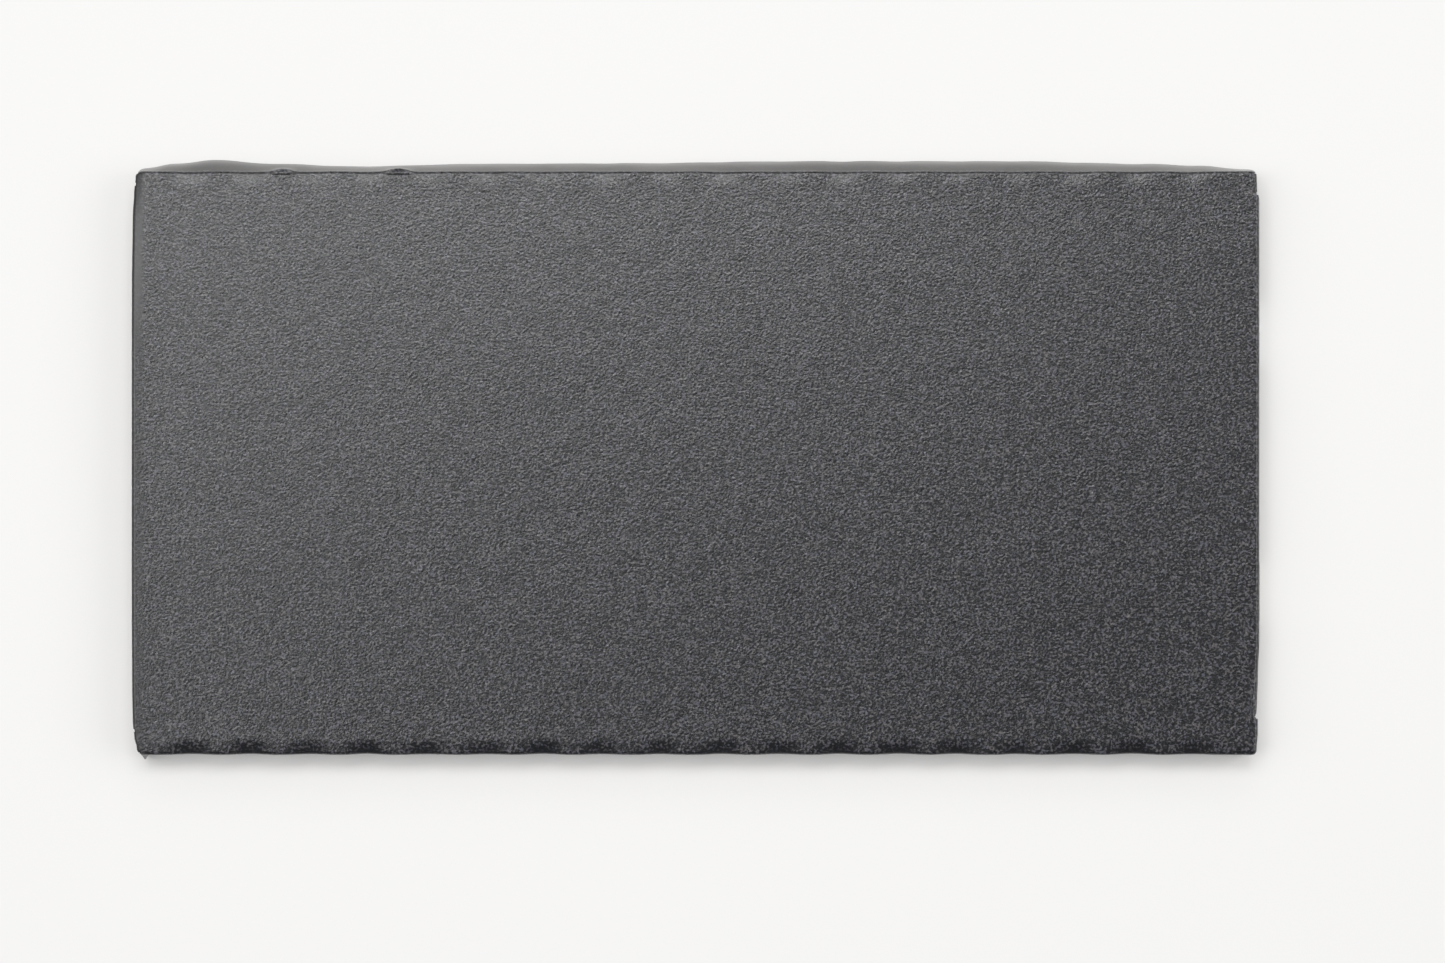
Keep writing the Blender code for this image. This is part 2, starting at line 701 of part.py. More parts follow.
def make_separator(parent):
    """One separator film, folded to and fro between all the sheets."""
    half = SEPARATOR_HALF_WIDTH
    step = SEPARATOR_THICKNESS / 2 + LAYER_GAP
    layers = [anode_z(0) - ANODE_THICKNESS / 2 - step]
    for index in range(ANODES):
        layers.append(anode_z(index) + ANODE_THICKNESS / 2 + step)
        if index < CATHODES:
            layers.append(cathode_z(index) + CATHODE_THICKNESS / 2 + step)
    path = []
    for index, z in enumerate(layers):
        direction = 1 if index % 2 == 0 else -1
        path.append(Vector((-direction * half, z)))
        path.append(Vector((direction * half, z)))
        if index + 1 < len(layers):
            radius = (layers[index + 1] - z) / 2
            for turn in range(1, ARC_STEPS):
                angle = math.pi * turn / ARC_STEPS - math.pi / 2
                out = direction * (half + radius * math.cos(angle))
                path.append(Vector((out, z + radius + radius * math.sin(angle))))
    bm = ribbon(path, SEPARATOR_THICKNESS, *SEPARATOR_X, in_yz)
    bmesh.ops.triangulate(bm, faces=[f for f in bm.faces if len(f.verts) > 4], ngon_method="BEAUTY")
    make_object("separator", bm, "separator", parent)


def make_stack_tapes(parent):
    """Tapes that hold the stack together: two on each long side and one on the -X end."""
    low = STACK_BOTTOM - FIT - STACK_TAPE / 2
    high = STACK_BOTTOM + STACK_HEIGHT + FIT + STACK_TAPE / 2
    fold = (PAIR_PITCH / 2 + SEPARATOR_THICKNESS) / 2
    half = STACK_TAPE_WIDTH / 2
    edge = SEPARATOR_HALF_WIDTH + fold + FIT + STACK_TAPE
    for side_name, side in (("front", -1), ("back", 1)):
        inner = side * (edge - STACK_TAPE_REACH)
        corners = ((inner, high), (side * edge, high), (side * edge, low), (inner, low))
        for end_name, x in (("left", -STACK_TAPE_PLACE), ("right", STACK_TAPE_PLACE)):
            bm = ribbon(filleted(corners, 0.06 * MM), STACK_TAPE, -half, half, in_yz)
            make_object(
                f"stack_tape_{side_name}_{end_name}", bm, "stack_tape", parent, (x, 0.0, 0.0)
            )
    edge = SEPARATOR_X[0] - FIT - STACK_TAPE / 2
    inner = edge + STACK_TAPE_REACH
    corners = ((inner, high), (edge, high), (edge, low), (inner, low))
    bm = ribbon(filleted(corners, 0.06 * MM), STACK_TAPE, -half, half, in_xz)
    make_object("stack_tape_end", bm, "stack_tape", parent)


def make_cell():
    """The whole cell, grouped as it would come apart on a bench."""
    clear_scene()
    cell = make_group("cell")
    pouch = make_group("pouch", cell)
    make_pouch(pouch)
    make_side_glue("side_glue_front", -1, pouch)
    make_side_glue("side_glue_back", 1, pouch)
    make_end_glue("end_glue_left", -1, pouch)
    make_end_glue("end_glue_right", 1, pouch)
    stack = make_group("electrode_stack", cell)
    make_electrodes(stack)
    make_separator(stack)
    make_stack_tapes(stack)
    terminals = make_group("terminals", cell)
    for pole, side, count, finish in (
        ("positive", 1, CATHODES, "aluminium_tab"),
        ("negative", -1, ANODES, "nickel_tab"),
    ):
        pile = pile_span(count)
        make_tab(f"tab_{pole}", side, pile[1], finish, terminals)
        make_films(pole, side, terminals)
        make_weld_tape(f"weld_tape_{pole}", side, pile, terminals)
    make_terrace_tape(terminals)


make_cell()
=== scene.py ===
"""Looks for the pouch battery cell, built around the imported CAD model.

The black pouch, its glue and its terrace tape are built finer here than in the CAD. The tabs,
films, tapes and electrode sheets keep their CAD shapes and get their finishes here.
Sizes are in metres: the origin is the centre of the flat underside, +X is the tab end and +Z
points up through the cover.
"""

import logging
import math
import random
from dataclasses import dataclass, field
from enum import Enum
from typing import Any, Callable, Sequence

import bpy
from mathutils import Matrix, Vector, noise


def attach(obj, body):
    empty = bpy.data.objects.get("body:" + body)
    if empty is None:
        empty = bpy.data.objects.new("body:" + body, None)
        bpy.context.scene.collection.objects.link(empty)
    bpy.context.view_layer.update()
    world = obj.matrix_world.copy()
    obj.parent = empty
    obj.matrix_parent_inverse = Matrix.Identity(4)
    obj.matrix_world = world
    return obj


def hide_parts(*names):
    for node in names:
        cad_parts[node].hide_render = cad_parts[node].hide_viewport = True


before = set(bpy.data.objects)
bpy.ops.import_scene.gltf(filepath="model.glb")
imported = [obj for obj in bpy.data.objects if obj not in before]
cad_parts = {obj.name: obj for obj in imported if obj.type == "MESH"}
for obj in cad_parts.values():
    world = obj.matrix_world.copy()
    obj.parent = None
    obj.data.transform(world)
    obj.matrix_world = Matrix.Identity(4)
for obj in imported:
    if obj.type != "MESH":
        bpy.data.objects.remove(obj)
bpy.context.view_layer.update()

MM = 0.001
BODY = "root"
LOG = logging.getLogger("pouch_cell")

Colour = tuple[float, float, float]
# Pairs of place and value, in rising order of place
Table = Sequence[tuple[float, float]]
# A local swelling: its middle, half width and reach
Swell = tuple[float, float, float]


# Small sums used by several pieces


def in_mm(*rows: tuple[float, ...]) -> tuple[tuple[float, ...], ...]:
    """Turns rows of sizes in millimetres into metres."""
    return tuple(tuple(part * MM for part in row) for row in rows)


def smooth_step(value: float) -> float:
    """Blends smoothly from 0 below 0 to 1 above 1.

    Args:
        value: Where in the blend, 0 to 1.

    Returns:
        The blended value.
    """
    value = min(max(value, 0.0), 1.0)
    return value * value * (3 - 2 * value)


def eased(place: float, table: Table) -> float:
    """Reads a value from a table, with smooth blends between its pairs.

    Args:
        place: Where to read.
        table: The pairs.

    Returns:
        The value there.
    """
    if place <= table[0][0]:
        return table[0][1]
    for (start, low), (end, high) in zip(table, table[1:]):
        if place <= end:
            return low + (high - low) * smooth_step((place - start) / (end - start))
    return table[-1][1]


def hump(offset: float, half_width: float) -> float:
    """A smooth hump: 1 at offset 0 and 0 from the half width outwards.

    Args:
        offset: Distance from the middle.
        half_width: Where the hump ends.

    Returns:
        Height of the hump, 0 to 1.
    """
    return smooth_step(1 - abs(offset) / half_width)


def swelling(place: float, swells: Sequence[Swell]) -> float:
    """Adds up the local swellings at a place."""
    return sum(reach * hump(place - middle, half) for middle, half, reach in swells)


class Wander(Enum):
    """Where a shape wanders a little: pitch of its swellings, their height and their pattern."""

    WING = (2.3 * MM, 0.020 * MM, 4)
    FOLD = (3.1 * MM, 0.010 * MM, 2)
    CUT = (6.0 * MM, 0.025 * MM, 9)
    FACE = (17.0 * MM, 0.012 * MM, 1)
    BASE = (15.0 * MM, 0.014 * MM, 6)
    TAPE = (1.8 * MM, 0.006 * MM, 3)

    def at(self, x: float, y: float) -> float:
        """The wander at a place, by up to about its height either way."""
        pitch, height, pattern = self.value
        return height * noise.noise(Vector((x / pitch, y / pitch, pattern)))

    def above(self, x: float, y: float) -> float:
        """The wander at a place, raised by its height so that it stays above zero."""
        return self.value[1] + self.at(x, y)


# Small calls for objects and meshes


def place_object(name: str, data: Any) -> bpy.types.Object:
    """Adds an object to the scene.

    Args:
        name: Its name.
        data: Its mesh, lamp or lens.

    Returns:
        The object.
    """
    made = bpy.data.objects.new(name, data)
    bpy.context.scene.collection.objects.link(made)
    return made


def shade(mesh: bpy.types.Mesh, sharp: float = 50.0) -> None:
    """Shades a mesh smooth, apart from edges sharper than an angle in degrees."""
    mesh.shade_smooth()
    mesh.set_sharp_from_angle(angle=math.radians(sharp))


def finished_object(name: str, mesh: bpy.types.Mesh, slot: str, *nodes: str) -> None:
    """Puts a finished mesh in the scene.

    Args:
        name: The piece's name.
        mesh: Its mesh, in its final place.
        slot: The record's material slot; not used.
        nodes: The CAD nodes it stands for.
    """
    piece = place_object(name, mesh)
    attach(piece, BODY)
    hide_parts(*nodes)
    LOG.info("built %s: %d faces", name, len(mesh.polygons))


# Node trees and finishes


class NodeSheet:
    """A node tree with short calls for adding and wiring its nodes."""

    where: Any = None

    def __init__(self, tree: bpy.types.NodeTree) -> None:
        """Takes the tree to add to."""
        self.tree = tree

    def feed(self, socket: bpy.types.NodeSocket, value: Any) -> None:
        """Links or sets one input.

        Args:
            socket: The input.
            value: An output to link, or a plain value to set.
        """
        if isinstance(value, bpy.types.NodeSocket):
            self.tree.links.new(value, socket)
        else:
            socket.default_value = value

    def node(self, kind: str, inputs: dict | None = None, **settings: Any) -> bpy.types.Node:
        """Adds a node.

        Args:
            kind: The node's type.
            inputs: Values or outputs for its inputs, by name or number.
            settings: Its own settings.

        Returns:
            The new node.
        """
        made = self.tree.nodes.new(kind)
        for name, value in settings.items():
            setattr(made, name, value)
        for name, value in (inputs or {}).items():
            self.feed(made.inputs[name], value)
        return made

    def sum(self, operation: str, *values: Any, clamp: bool = False) -> bpy.types.NodeSocket:
        """Adds a math node.

        Args:
            operation: What it works out.
            values: Its numbers or links, in order.
            clamp: Whether the result is kept between 0 and 1.

        Returns:
            Its result.
        """
        inputs = dict(enumerate(values))
        made = self.node("ShaderNodeMath", inputs, operation=operation, use_clamp=clamp)
        return made.outputs[0]

    def span(self, value: Any, low: float, high: float, start: float = 0.0, end: float = 1.0,
             kind: str = "SMOOTHSTEP") -> bpy.types.NodeSocket:
        """Maps a range of values to another.

        Args:
            value: What to map.
            low: Value that gives the start.
            high: Value that gives the end.
            start: Result at low.
            end: Result at high.
            kind: How it blends.

        Returns:
            The mapped value.
        """
        inputs = {"Value": value, "From Min": low, "From Max": high, "To Min": start, "To Max": end}
        return self.node("ShaderNodeMapRange", inputs, interpolation_type=kind).outputs[0]

    def grain(self, scale: float, detail: float = 2.0, roughness: float = 0.5,
              where: Any = None) -> bpy.types.NodeSocket:
        """Adds a noise pattern.

        Args:
            scale: Swellings in a metre, about.
            detail: How many finer layers it has.
            roughness: How strong the finer layers are.
            where: Coordinates, if not the tree's own.

        Returns:
            Its value, 0 to 1.
        """
        inputs = {"Vector": where or self.where, "Scale": scale, "Detail": detail,
                  "Roughness": roughness}
        return self.node("ShaderNodeTexNoise", inputs).outputs[0]

    def blend(self, factor: Any, first: Any, second: Any) -> bpy.types.NodeSocket:
        """Blends two colours.

        Args:
            factor: 0 for the first, 1 for the second.
            first: A colour or link.
            second: A colour or link.

        Returns:
            The blended colour.
        """
        made = self.node("ShaderNodeMix", {0: factor}, data_type="RGBA")
        for index, value in ((6, first), (7, second)):
            linked = isinstance(value, bpy.types.NodeSocket)
            self.feed(made.inputs[index], value if linked else (*value, 1.0))
        return made.outputs[2]

    def bump(self, height: Any, distance: float, strength: Any = 1.0,
             under: Any = None) -> bpy.types.NodeSocket:
        """Adds surface relief.

        Args:
            height: The pattern.
            distance: How high a full step of it is.
            strength: How much of it shows.
            under: Relief that it lies on.

        Returns:
            The bumped normal.
        """
        inputs = {"Height": height, "Distance": distance, "Strength": strength}
        if under is not None:
            inputs["Normal"] = under
        return self.node("ShaderNodeBump", inputs).outputs[0]


class MaterialSheet(NodeSheet):
    """A material's node tree, with its shader and the piece's own coordinates."""

    def __init__(self, material: bpy.types.Material) -> None:
        """Takes the material to add to."""
        super().__init__(material.node_tree)
        self.shader = material.node_tree.nodes["Principled BSDF"]
        self.where = self.node("ShaderNodeTexCoord").outputs["Object"]

    def put(self, name: str, value: Any) -> None:
        """Links or sets one of the shader's inputs."""
        self.feed(self.shader.inputs[name], value)

    def streaks(self, scale: Colour, roughness: float = 0.5) -> bpy.types.NodeSocket:
        """A noise pattern drawn out along an axis, from its swellings in a metre each way."""
        along = self.node("ShaderNodeMapping", {"Vector": self.where, "Scale": scale}).outputs[0]
        return self.grain(1.0, 3.0, roughness, along)

    def pebbles(self, scale: float) -> bpy.types.NodeSocket:
        """A pattern of small rounded grains, from their number in a metre."""
        cells = self.node("ShaderNodeTexVoronoi", {"Vector": self.where, "Scale": scale})
        return self.sum("SUBTRACT", 1.0, cells.outputs["Distance"])


class Finish:
    """A surface finish: it makes its material, and each kind adds its own nodes."""

    colour: Colour

    def material(self, name: str) -> bpy.types.Material:
        """Makes the material.

        Args:
            name: Its name.

        Returns:
            The material.
        """
        made = bpy.data.materials.new(name)
        made.use_nodes = True
        made.diffuse_color = (*self.colour, 1.0)
        self.paint(MaterialSheet(made))
        return made

    def tinted(self, share: float) -> Colour:
        """The finish's colour, made darker or lighter by a factor."""
        return tuple(share * part for part in self.colour)

    def paint(self, sheet: MaterialSheet) -> None:
        """Adds the finish's own nodes to a material."""
        raise NotImplementedError


@dataclass(frozen=True)
class LaminateFinish(Finish):
    """The pouch's black nylon side: fine grain with flecks, partly painted glints; smooth where
    heat-sealed.
    """

    colour: Colour = (0.0020, 0.0020, 0.0026)
    # Fleck colours: partly the nylon's own grain tone, partly painted glints of its grain
    warm_grain_and_glint: Colour = (0.0640, 0.0582, 0.0590)
    cool_grain_and_glint: Colour = (0.0525, 0.0525, 0.0670)
    least_rough: float = 0.27
    most_rough: float = 0.34
    gloss: float = 0.47
    grain: float = 4000.0
    pebbles: float = 5200.0
    pebble_share: float = 0.45
    sparkle: float = 4700.0
    matt: float = 3000.0
    mottle: float = 1500.0
    swell: float = 420.0
    cloud: float = 120.0
    depth: float = 0.032 * MM
    swell_depth: float = 0.030 * MM
    # Share of the flecks (grain tone and painted glints) kept where the sheet was sealed
    sealed_grain_and_glint_share: float = 0.2
    sealed_depth: float = 0.06

    def paint(self, sheet: MaterialSheet) -> None:
        """Adds the finish's own nodes.

        Args:
            sheet: The material's node sheet.
        """
        pressed = sheet.node("ShaderNodeAttribute", attribute_name="pressed").outputs["Fac"]
        loose = sheet.sum("SUBTRACT", 1.0, pressed, clamp=True)
        # Pale flecks in the base colour: partly the nylon's own grain, partly painted glints
        # standing in for its sparkle; fewer where sealed
        grain_and_glint_fleck = sheet.span(sheet.grain(self.sparkle, 1.5), 0.50, 0.64, kind="LINEAR")
        seen = sheet.sum("MULTIPLY", grain_and_glint_fleck, sheet.sum("MAXIMUM", loose, self.sealed_grain_and_glint_share))
        mottle = sheet.span(sheet.grain(self.mottle, 2.0, 0.6), 0.36, 0.64)
        tint = sheet.blend(mottle, self.cool_grain_and_glint, self.warm_grain_and_glint)
        sheet.put("Base Color", sheet.blend(seen, self.colour, tint))
        sheet.put("Specular IOR Level", self.gloss)
        rough = self.least_rough, self.most_rough
        matt = sheet.span(sheet.grain(self.matt, 2.0), 0.3, 0.7, *rough)
        smooth = sheet.span(sheet.grain(self.cloud, 3.0, 0.55), 0.3, 0.7, *rough)
        both = sheet.node("ShaderNodeMix", {0: pressed, 2: matt, 3: smooth})
        sheet.put("Roughness", both.outputs[0])
        pebbles = sheet.sum("MULTIPLY", sheet.pebbles(self.pebbles), self.pebble_share)
        peel = sheet.sum("ADD", pebbles, sheet.grain(self.grain, 2.0, 0.6))
        soft = sheet.bump(sheet.grain(self.swell, 2.0), self.swell_depth)
        strength = sheet.sum("MAXIMUM", loose, self.sealed_depth)
        sheet.put("Normal", sheet.bump(peel, self.depth, strength, soft))


@dataclass(frozen=True)
class InnerFilmFinish(Finish):
    """The pouch's heat-seal side: a matt film over bright aluminium foil."""

    colour: Colour = (0.50, 0.51, 0.53)
    cloud: float = 260.0
    grain: float = 3000.0

    def paint(self, sheet: MaterialSheet) -> None:
        """Adds the finish's own nodes.

        Args:
            sheet: The material's node sheet.
        """
        cloud = sheet.grain(self.cloud, 4.0, 0.6)
        sheet.put("Base Color", sheet.blend(cloud, self.colour, self.tinted(0.82)))
        sheet.put("Metallic", 0.55)
        sheet.put("Roughness", sheet.span(cloud, 0.2, 0.8, 0.34, 0.50))
        sheet.put("Normal", sheet.bump(sheet.grain(self.grain), 0.010 * MM))


class Metal(Enum):
    """Bare metals of the cell: colour and roughness."""

    ALUMINIUM = ((0.80, 0.81, 0.83), 0.30)
    NICKEL = ((0.66, 0.63, 0.57), 0.26)
    COPPER = ((0.78, 0.38, 0.22), 0.32)


@dataclass(frozen=True)
class RolledMetalFinish(Finish):
    """Rolled strip: fine lines along one way, faint clouding and small handling marks."""

    metal: Metal
    lines: Colour = (900.0, 14000.0, 900.0)
    cloud: float = 700.0

    @property
    def colour(self) -> Colour:
        """The bare metal's colour."""
        return self.metal.value[0]

    def paint(self, sheet: MaterialSheet) -> None:
        """Adds the finish's own nodes.

        Args:
            sheet: The material's node sheet.
        """
        lines = sheet.streaks(self.lines, 0.6)
        cloud = sheet.grain(self.cloud, 4.0, 0.6)
        worn = sheet.sum("MULTIPLY", cloud, lines)
        tone = sheet.blend(sheet.span(worn, 0.15, 0.42), self.tinted(0.72), self.colour)
        sheet.put("Base Color", tone)
        sheet.put("Metallic", 1.0)
        roughness = self.metal.value[1]
        sheet.put("Roughness", sheet.span(worn, 0.1, 0.45, roughness + 0.16, roughness - 0.04))
        soft = sheet.bump(cloud, 0.012 * MM)
        sheet.put("Normal", sheet.bump(lines, 0.004 * MM, 0.8, soft))


@dataclass(frozen=True)
class TapeFinish(Finish):
    """Thin plastic tape or film: a slight waviness, glue clouding and dust-fine speckle."""

    colour: Colour
    roughness: float = 0.35
    see_through: float = 0.0
    speckle: float = 0.12
    cloud: float = 600.0
    dust: float = 9000.0

    def paint(self, sheet: MaterialSheet) -> None:
        """Adds the finish's own nodes.

        Args:
            sheet: The material's node sheet.
        """
        cloud = sheet.grain(self.cloud, 4.0, 0.6)
        dust = sheet.grain(self.dust, 1.0)
        lighter = tuple(part + 0.004 for part in self.tinted(1 + 2 * self.speckle))
        tone = sheet.blend(sheet.span(cloud, 0.3, 0.7), self.tinted(1 - self.speckle), self.colour)
        tone = sheet.blend(sheet.span(dust, 0.62, 0.75), tone, lighter)
        sheet.put("Base Color", tone)
        rough = self.roughness - 0.05, self.roughness + 0.07
        sheet.put("Roughness", sheet.span(cloud, 0.3, 0.7, *rough))
        sheet.put("Transmission Weight", self.see_through)
        soft = sheet.bump(cloud, 0.016 * MM)
        sheet.put("Normal", sheet.bump(dust, 0.003 * MM, 0.7, soft))


@dataclass(frozen=True)
class CoatedFoilFinish(Finish):
    """An electrode sheet: powder coating up to a line near the tab end, bare foil beyond."""

    colour: Colour
    foil: Metal
    coating_end: float
    wander: float = 0.05 * MM
    powder: float = 12000.0
    streaks: Colour = (60.0, 1800.0, 1800.0)

    def paint(self, sheet: MaterialSheet) -> None:
        """Adds the finish's own nodes.

        Args:
            sheet: The material's node sheet.
        """
        metal, metal_roughness = self.foil.value
        along = sheet.node("ShaderNodeSeparateXYZ", {0: sheet.where}).outputs[0]
        wander = sheet.span(sheet.grain(900.0), 0.0, 1.0, -self.wander, self.wander, "LINEAR")
        edge = sheet.sum("ADD", along, wander)
        bare = sheet.sum("GREATER_THAN", edge, self.coating_end)
        powder = sheet.grain(self.powder, 3.0, 0.7)
        streaks = sheet.span(sheet.streaks(self.streaks), 0.45, 0.75, 0.0, 0.35)
        lighter = self.tinted(1.7)
        coat = sheet.blend(sheet.span(powder, 0.35, 0.7), self.colour, lighter)
        coat = sheet.blend(streaks, coat, lighter)
        sheet.put("Base Color", sheet.blend(bare, coat, metal))
        sheet.put("Metallic", bare)
        rough = sheet.node("ShaderNodeMix", {0: bare, 2: 0.82, 3: metal_roughness})
        sheet.put("Roughness", rough.outputs[0])
        sheet.put("Normal", sheet.bump(powder, 0.004 * MM))


@dataclass(frozen=True)
class SeparatorFinish(Finish):
    """The separator: thin white porous film with faint stretch lines."""

    colour: Colour = (0.82, 0.82, 0.80)
    pores: float = 15000.0
    lines: Colour = (120.0, 2500.0, 2500.0)

    def paint(self, sheet: MaterialSheet) -> None:
        """Adds the finish's own nodes.

        Args:
            sheet: The material's node sheet.
        """
        pores = sheet.grain(self.pores, 2.0)
        lines = sheet.span(sheet.streaks(self.lines), 0.35, 0.65)
        sheet.put("Base Color", sheet.blend(lines, self.tinted(0.86), self.colour))
        sheet.put("Roughness", sheet.span(pores, 0.3, 0.7, 0.45, 0.65))
        sheet.put("Subsurface Weight", 0.2)
        sheet.put("Subsurface Scale", 0.05 * MM)
        sheet.put("Normal", sheet.bump(pores, 0.002 * MM))


@dataclass(frozen=True)
class GlueFinish(Finish):
    """Hot-melt glue: cloudy amber-white, waxy, with small ripples where it was pressed."""

    colour: Colour = (0.70, 0.62, 0.42)
    thick_part: Colour = (0.574, 0.4588, 0.252)
    cloud: float = 1100.0

    def paint(self, sheet: MaterialSheet) -> None:
        """Adds the finish's own nodes.

        Args:
            sheet: The material's node sheet.
        """
        cloud = sheet.grain(self.cloud, 3.0, 0.6)
        tone = sheet.blend(sheet.span(cloud, 0.3, 0.7), self.thick_part, self.colour)
        sheet.put("Base Color", tone)
        sheet.put("Roughness", sheet.span(cloud, 0.3, 0.7, 0.24, 0.42))
        sheet.put("Subsurface Weight", 0.35)
        sheet.put("Subsurface Scale", 0.3 * MM)
        sheet.put("Normal", sheet.bump(cloud, 0.05 * MM))


@dataclass(frozen=True)
class FloorFinish(Finish):
    """Smooth white sweep with the faintest clouding."""

    colour: Colour = (0.885, 0.866, 0.835)

    def paint(self, sheet: MaterialSheet) -> None:
        """Adds the finish's own nodes.

        Args:
            sheet: The material's node sheet.
        """
        cloud = sheet.grain(14.0, 3.0)
        sheet.put("Base Color", sheet.blend(cloud, self.colour, self.tinted(0.985)))
        sheet.put("Roughness", 0.85)


# Electrode coatings: graphite and oxide, and where each one ends along X
BLACK_GREY: Colour = (0.022, 0.022, 0.024)
BROWN_GREY: Colour = (0.045, 0.041, 0.040)
ANODE_COATING_END = 41.8 * MM
CATHODE_COATING_END = 41.3 * MM


class Finishes:
    """Makes each finish once and hands it out by the name of its slot."""

    def __init__(self) -> None:
        """Lists the finishes."""
        self.kinds = {
            "laminate": LaminateFinish(),
            "inner_film": InnerFilmFinish(),
            "cut_foil": RolledMetalFinish(Metal.ALUMINIUM, (4000.0, 4000.0, 9000.0)),
            "anode": CoatedFoilFinish(BLACK_GREY, Metal.COPPER, ANODE_COATING_END),
            "cathode": CoatedFoilFinish(BROWN_GREY, Metal.ALUMINIUM, CATHODE_COATING_END),
            "separator": SeparatorFinish(),
            "aluminium_tab": RolledMetalFinish(Metal.ALUMINIUM),
            "nickel_tab": RolledMetalFinish(Metal.NICKEL),
            "seal_film": TapeFinish((0.060, 0.060, 0.062), 0.42, speckle=0.2),
            "weld_tape": TapeFinish((0.52, 0.25, 0.045), 0.28, see_through=0.25),
            "stack_tape": TapeFinish((0.045, 0.30, 0.12), 0.30),
            "black_tape": TapeFinish((0.018, 0.018, 0.019), 0.38, speckle=0.35),
            "hot_melt": GlueFinish(),
            "floor": FloorFinish(),
        }
        self.made: dict[str, bpy.types.Material] = {}

    def get(self, slot: str) -> bpy.types.Material:
        """Hands out one finish.

        Args:
            slot: Its name.

        Returns:
            The material, made at its first use.
        """
        if slot not in self.made:
            self.made[slot] = self.kinds[slot].material(f"{slot}_finish")
        return self.made[slot]

    def dress(self, node: str, slot: str) -> None:
        """Gives a CAD node a finish in place of its plain one.

        Args:
            node: The node's name.
            slot: The finish.
        """
        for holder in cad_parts[node].material_slots:
            holder.material = self.get(slot)
        LOG.info("dressed %s in %s", node, slot)


# The pouch

# A direction at least this far along an axis belongs to a straight side, not to a corner
STRAIGHT = 0.99


@dataclass(frozen=True)
class Station:
    """A place on the rim seen from above: its point and outward direction."""

    point: Vector
    normal: Vector


@dataclass(frozen=True)
class RoundedOutline:
    """A rounded rectangle seen from above.

    Its grid places run from -2 to 2 each way: -1 to 1 is the straight part of a side, and the
    rest is inside a corner.
    """

    half_length: float
    half_width: float
    corner: float
    centre_x: float = 0.0

    @staticmethod
    def bend(u: float, v: float) -> tuple[float, float]:
        """Turns the square corner of the grid into a round one.

        Args:
            u: Grid place along X.
            v: Grid place along Y.

        Returns:
            How far into the corner the point lies each way, 0 to 1.
        """
        out_u, out_v = max(abs(u) - 1, 0.0), max(abs(v) - 1, 0.0)
        if out_u and out_v:
            reach = max(out_u, out_v)
            share = out_v / out_u if out_u >= out_v else 2 - out_u / out_v
            out_u = reach * math.cos(math.pi / 4 * share)
            out_v = reach * math.sin(math.pi / 4 * share)
        return out_u, out_v

    def point(self, u: float, v: float) -> Vector:
        """Finds a grid place's point.

        Args:
            u: Grid place along X.
            v: Grid place along Y.

        Returns:
            The point seen from above.
        """
        out_u, out_v = self.bend(u, v)
        x = min(max(u, -1.0), 1.0) * (self.half_length - self.corner)
        y = min(max(v, -1.0), 1.0) * (self.half_width - self.corner)
        x += math.copysign(out_u * self.corner, u)
        y += math.copysign(out_v * self.corner, v)
        return Vector((self.centre_x + x, y))

    def station(self, u: float, v: float) -> Station:
        """Describes a place on the outline itself.

        Args:
            u: Grid place along X.
            v: Grid place along Y.

        Returns:
            The station there.
        """
        out_u, out_v = self.bend(u, v)
        normal = Vector((math.copysign(out_u, u), math.copysign(out_v, v))).normalized()
        return Station(self.point(u, v), normal)


@dataclass
class PressMarks:
    """Dents left along both long edges where the wings were pressed onto the glue."""

    pitch: float = 5.0 * MM
    spots: int = 18
    start_x: float = -42.8 * MM
    half_width: float = 2.25 * MM
    reach: float = 1.25 * MM
    depth: float = 0.26 * MM
    back_share: float = 0.30
    pull: float = 0.10 * MM
    uneven: float = 0.28
    uneven_width: float = 0.12
    off_place: float = 0.15 * MM
    seed: int = 11

    def __post_init__(self) -> None:
        """Draws each dent's own strength, width and offset, front side first."""
        chance = random.Random(self.seed)
        self.dents = [(
            1 + chance.uniform(-self.uneven, self.uneven),
            1 + chance.uniform(-self.uneven_width, self.uneven_width),
            chance.uniform(-self.off_place, self.off_place),
        ) for _ in range(2 * self.spots)]

    def press(self, x: float, back: bool) -> float:
        """How firmly the edge is pressed in at a place.

        Args:
            x: Place along the cell.
            back: Whether it is the back edge.

        Returns:
            0 between the dents to about 1 in the middle of one.
        """
        index = round((x - self.start_x) / self.pitch)
        if not 0 <= index < self.spots:
            return 0.0
        strength, width, offset = self.dents[index + (self.spots if back else 0)]
        middle = self.start_x + index * self.pitch + offset
        return strength * hump(x - middle, self.half_width * width)


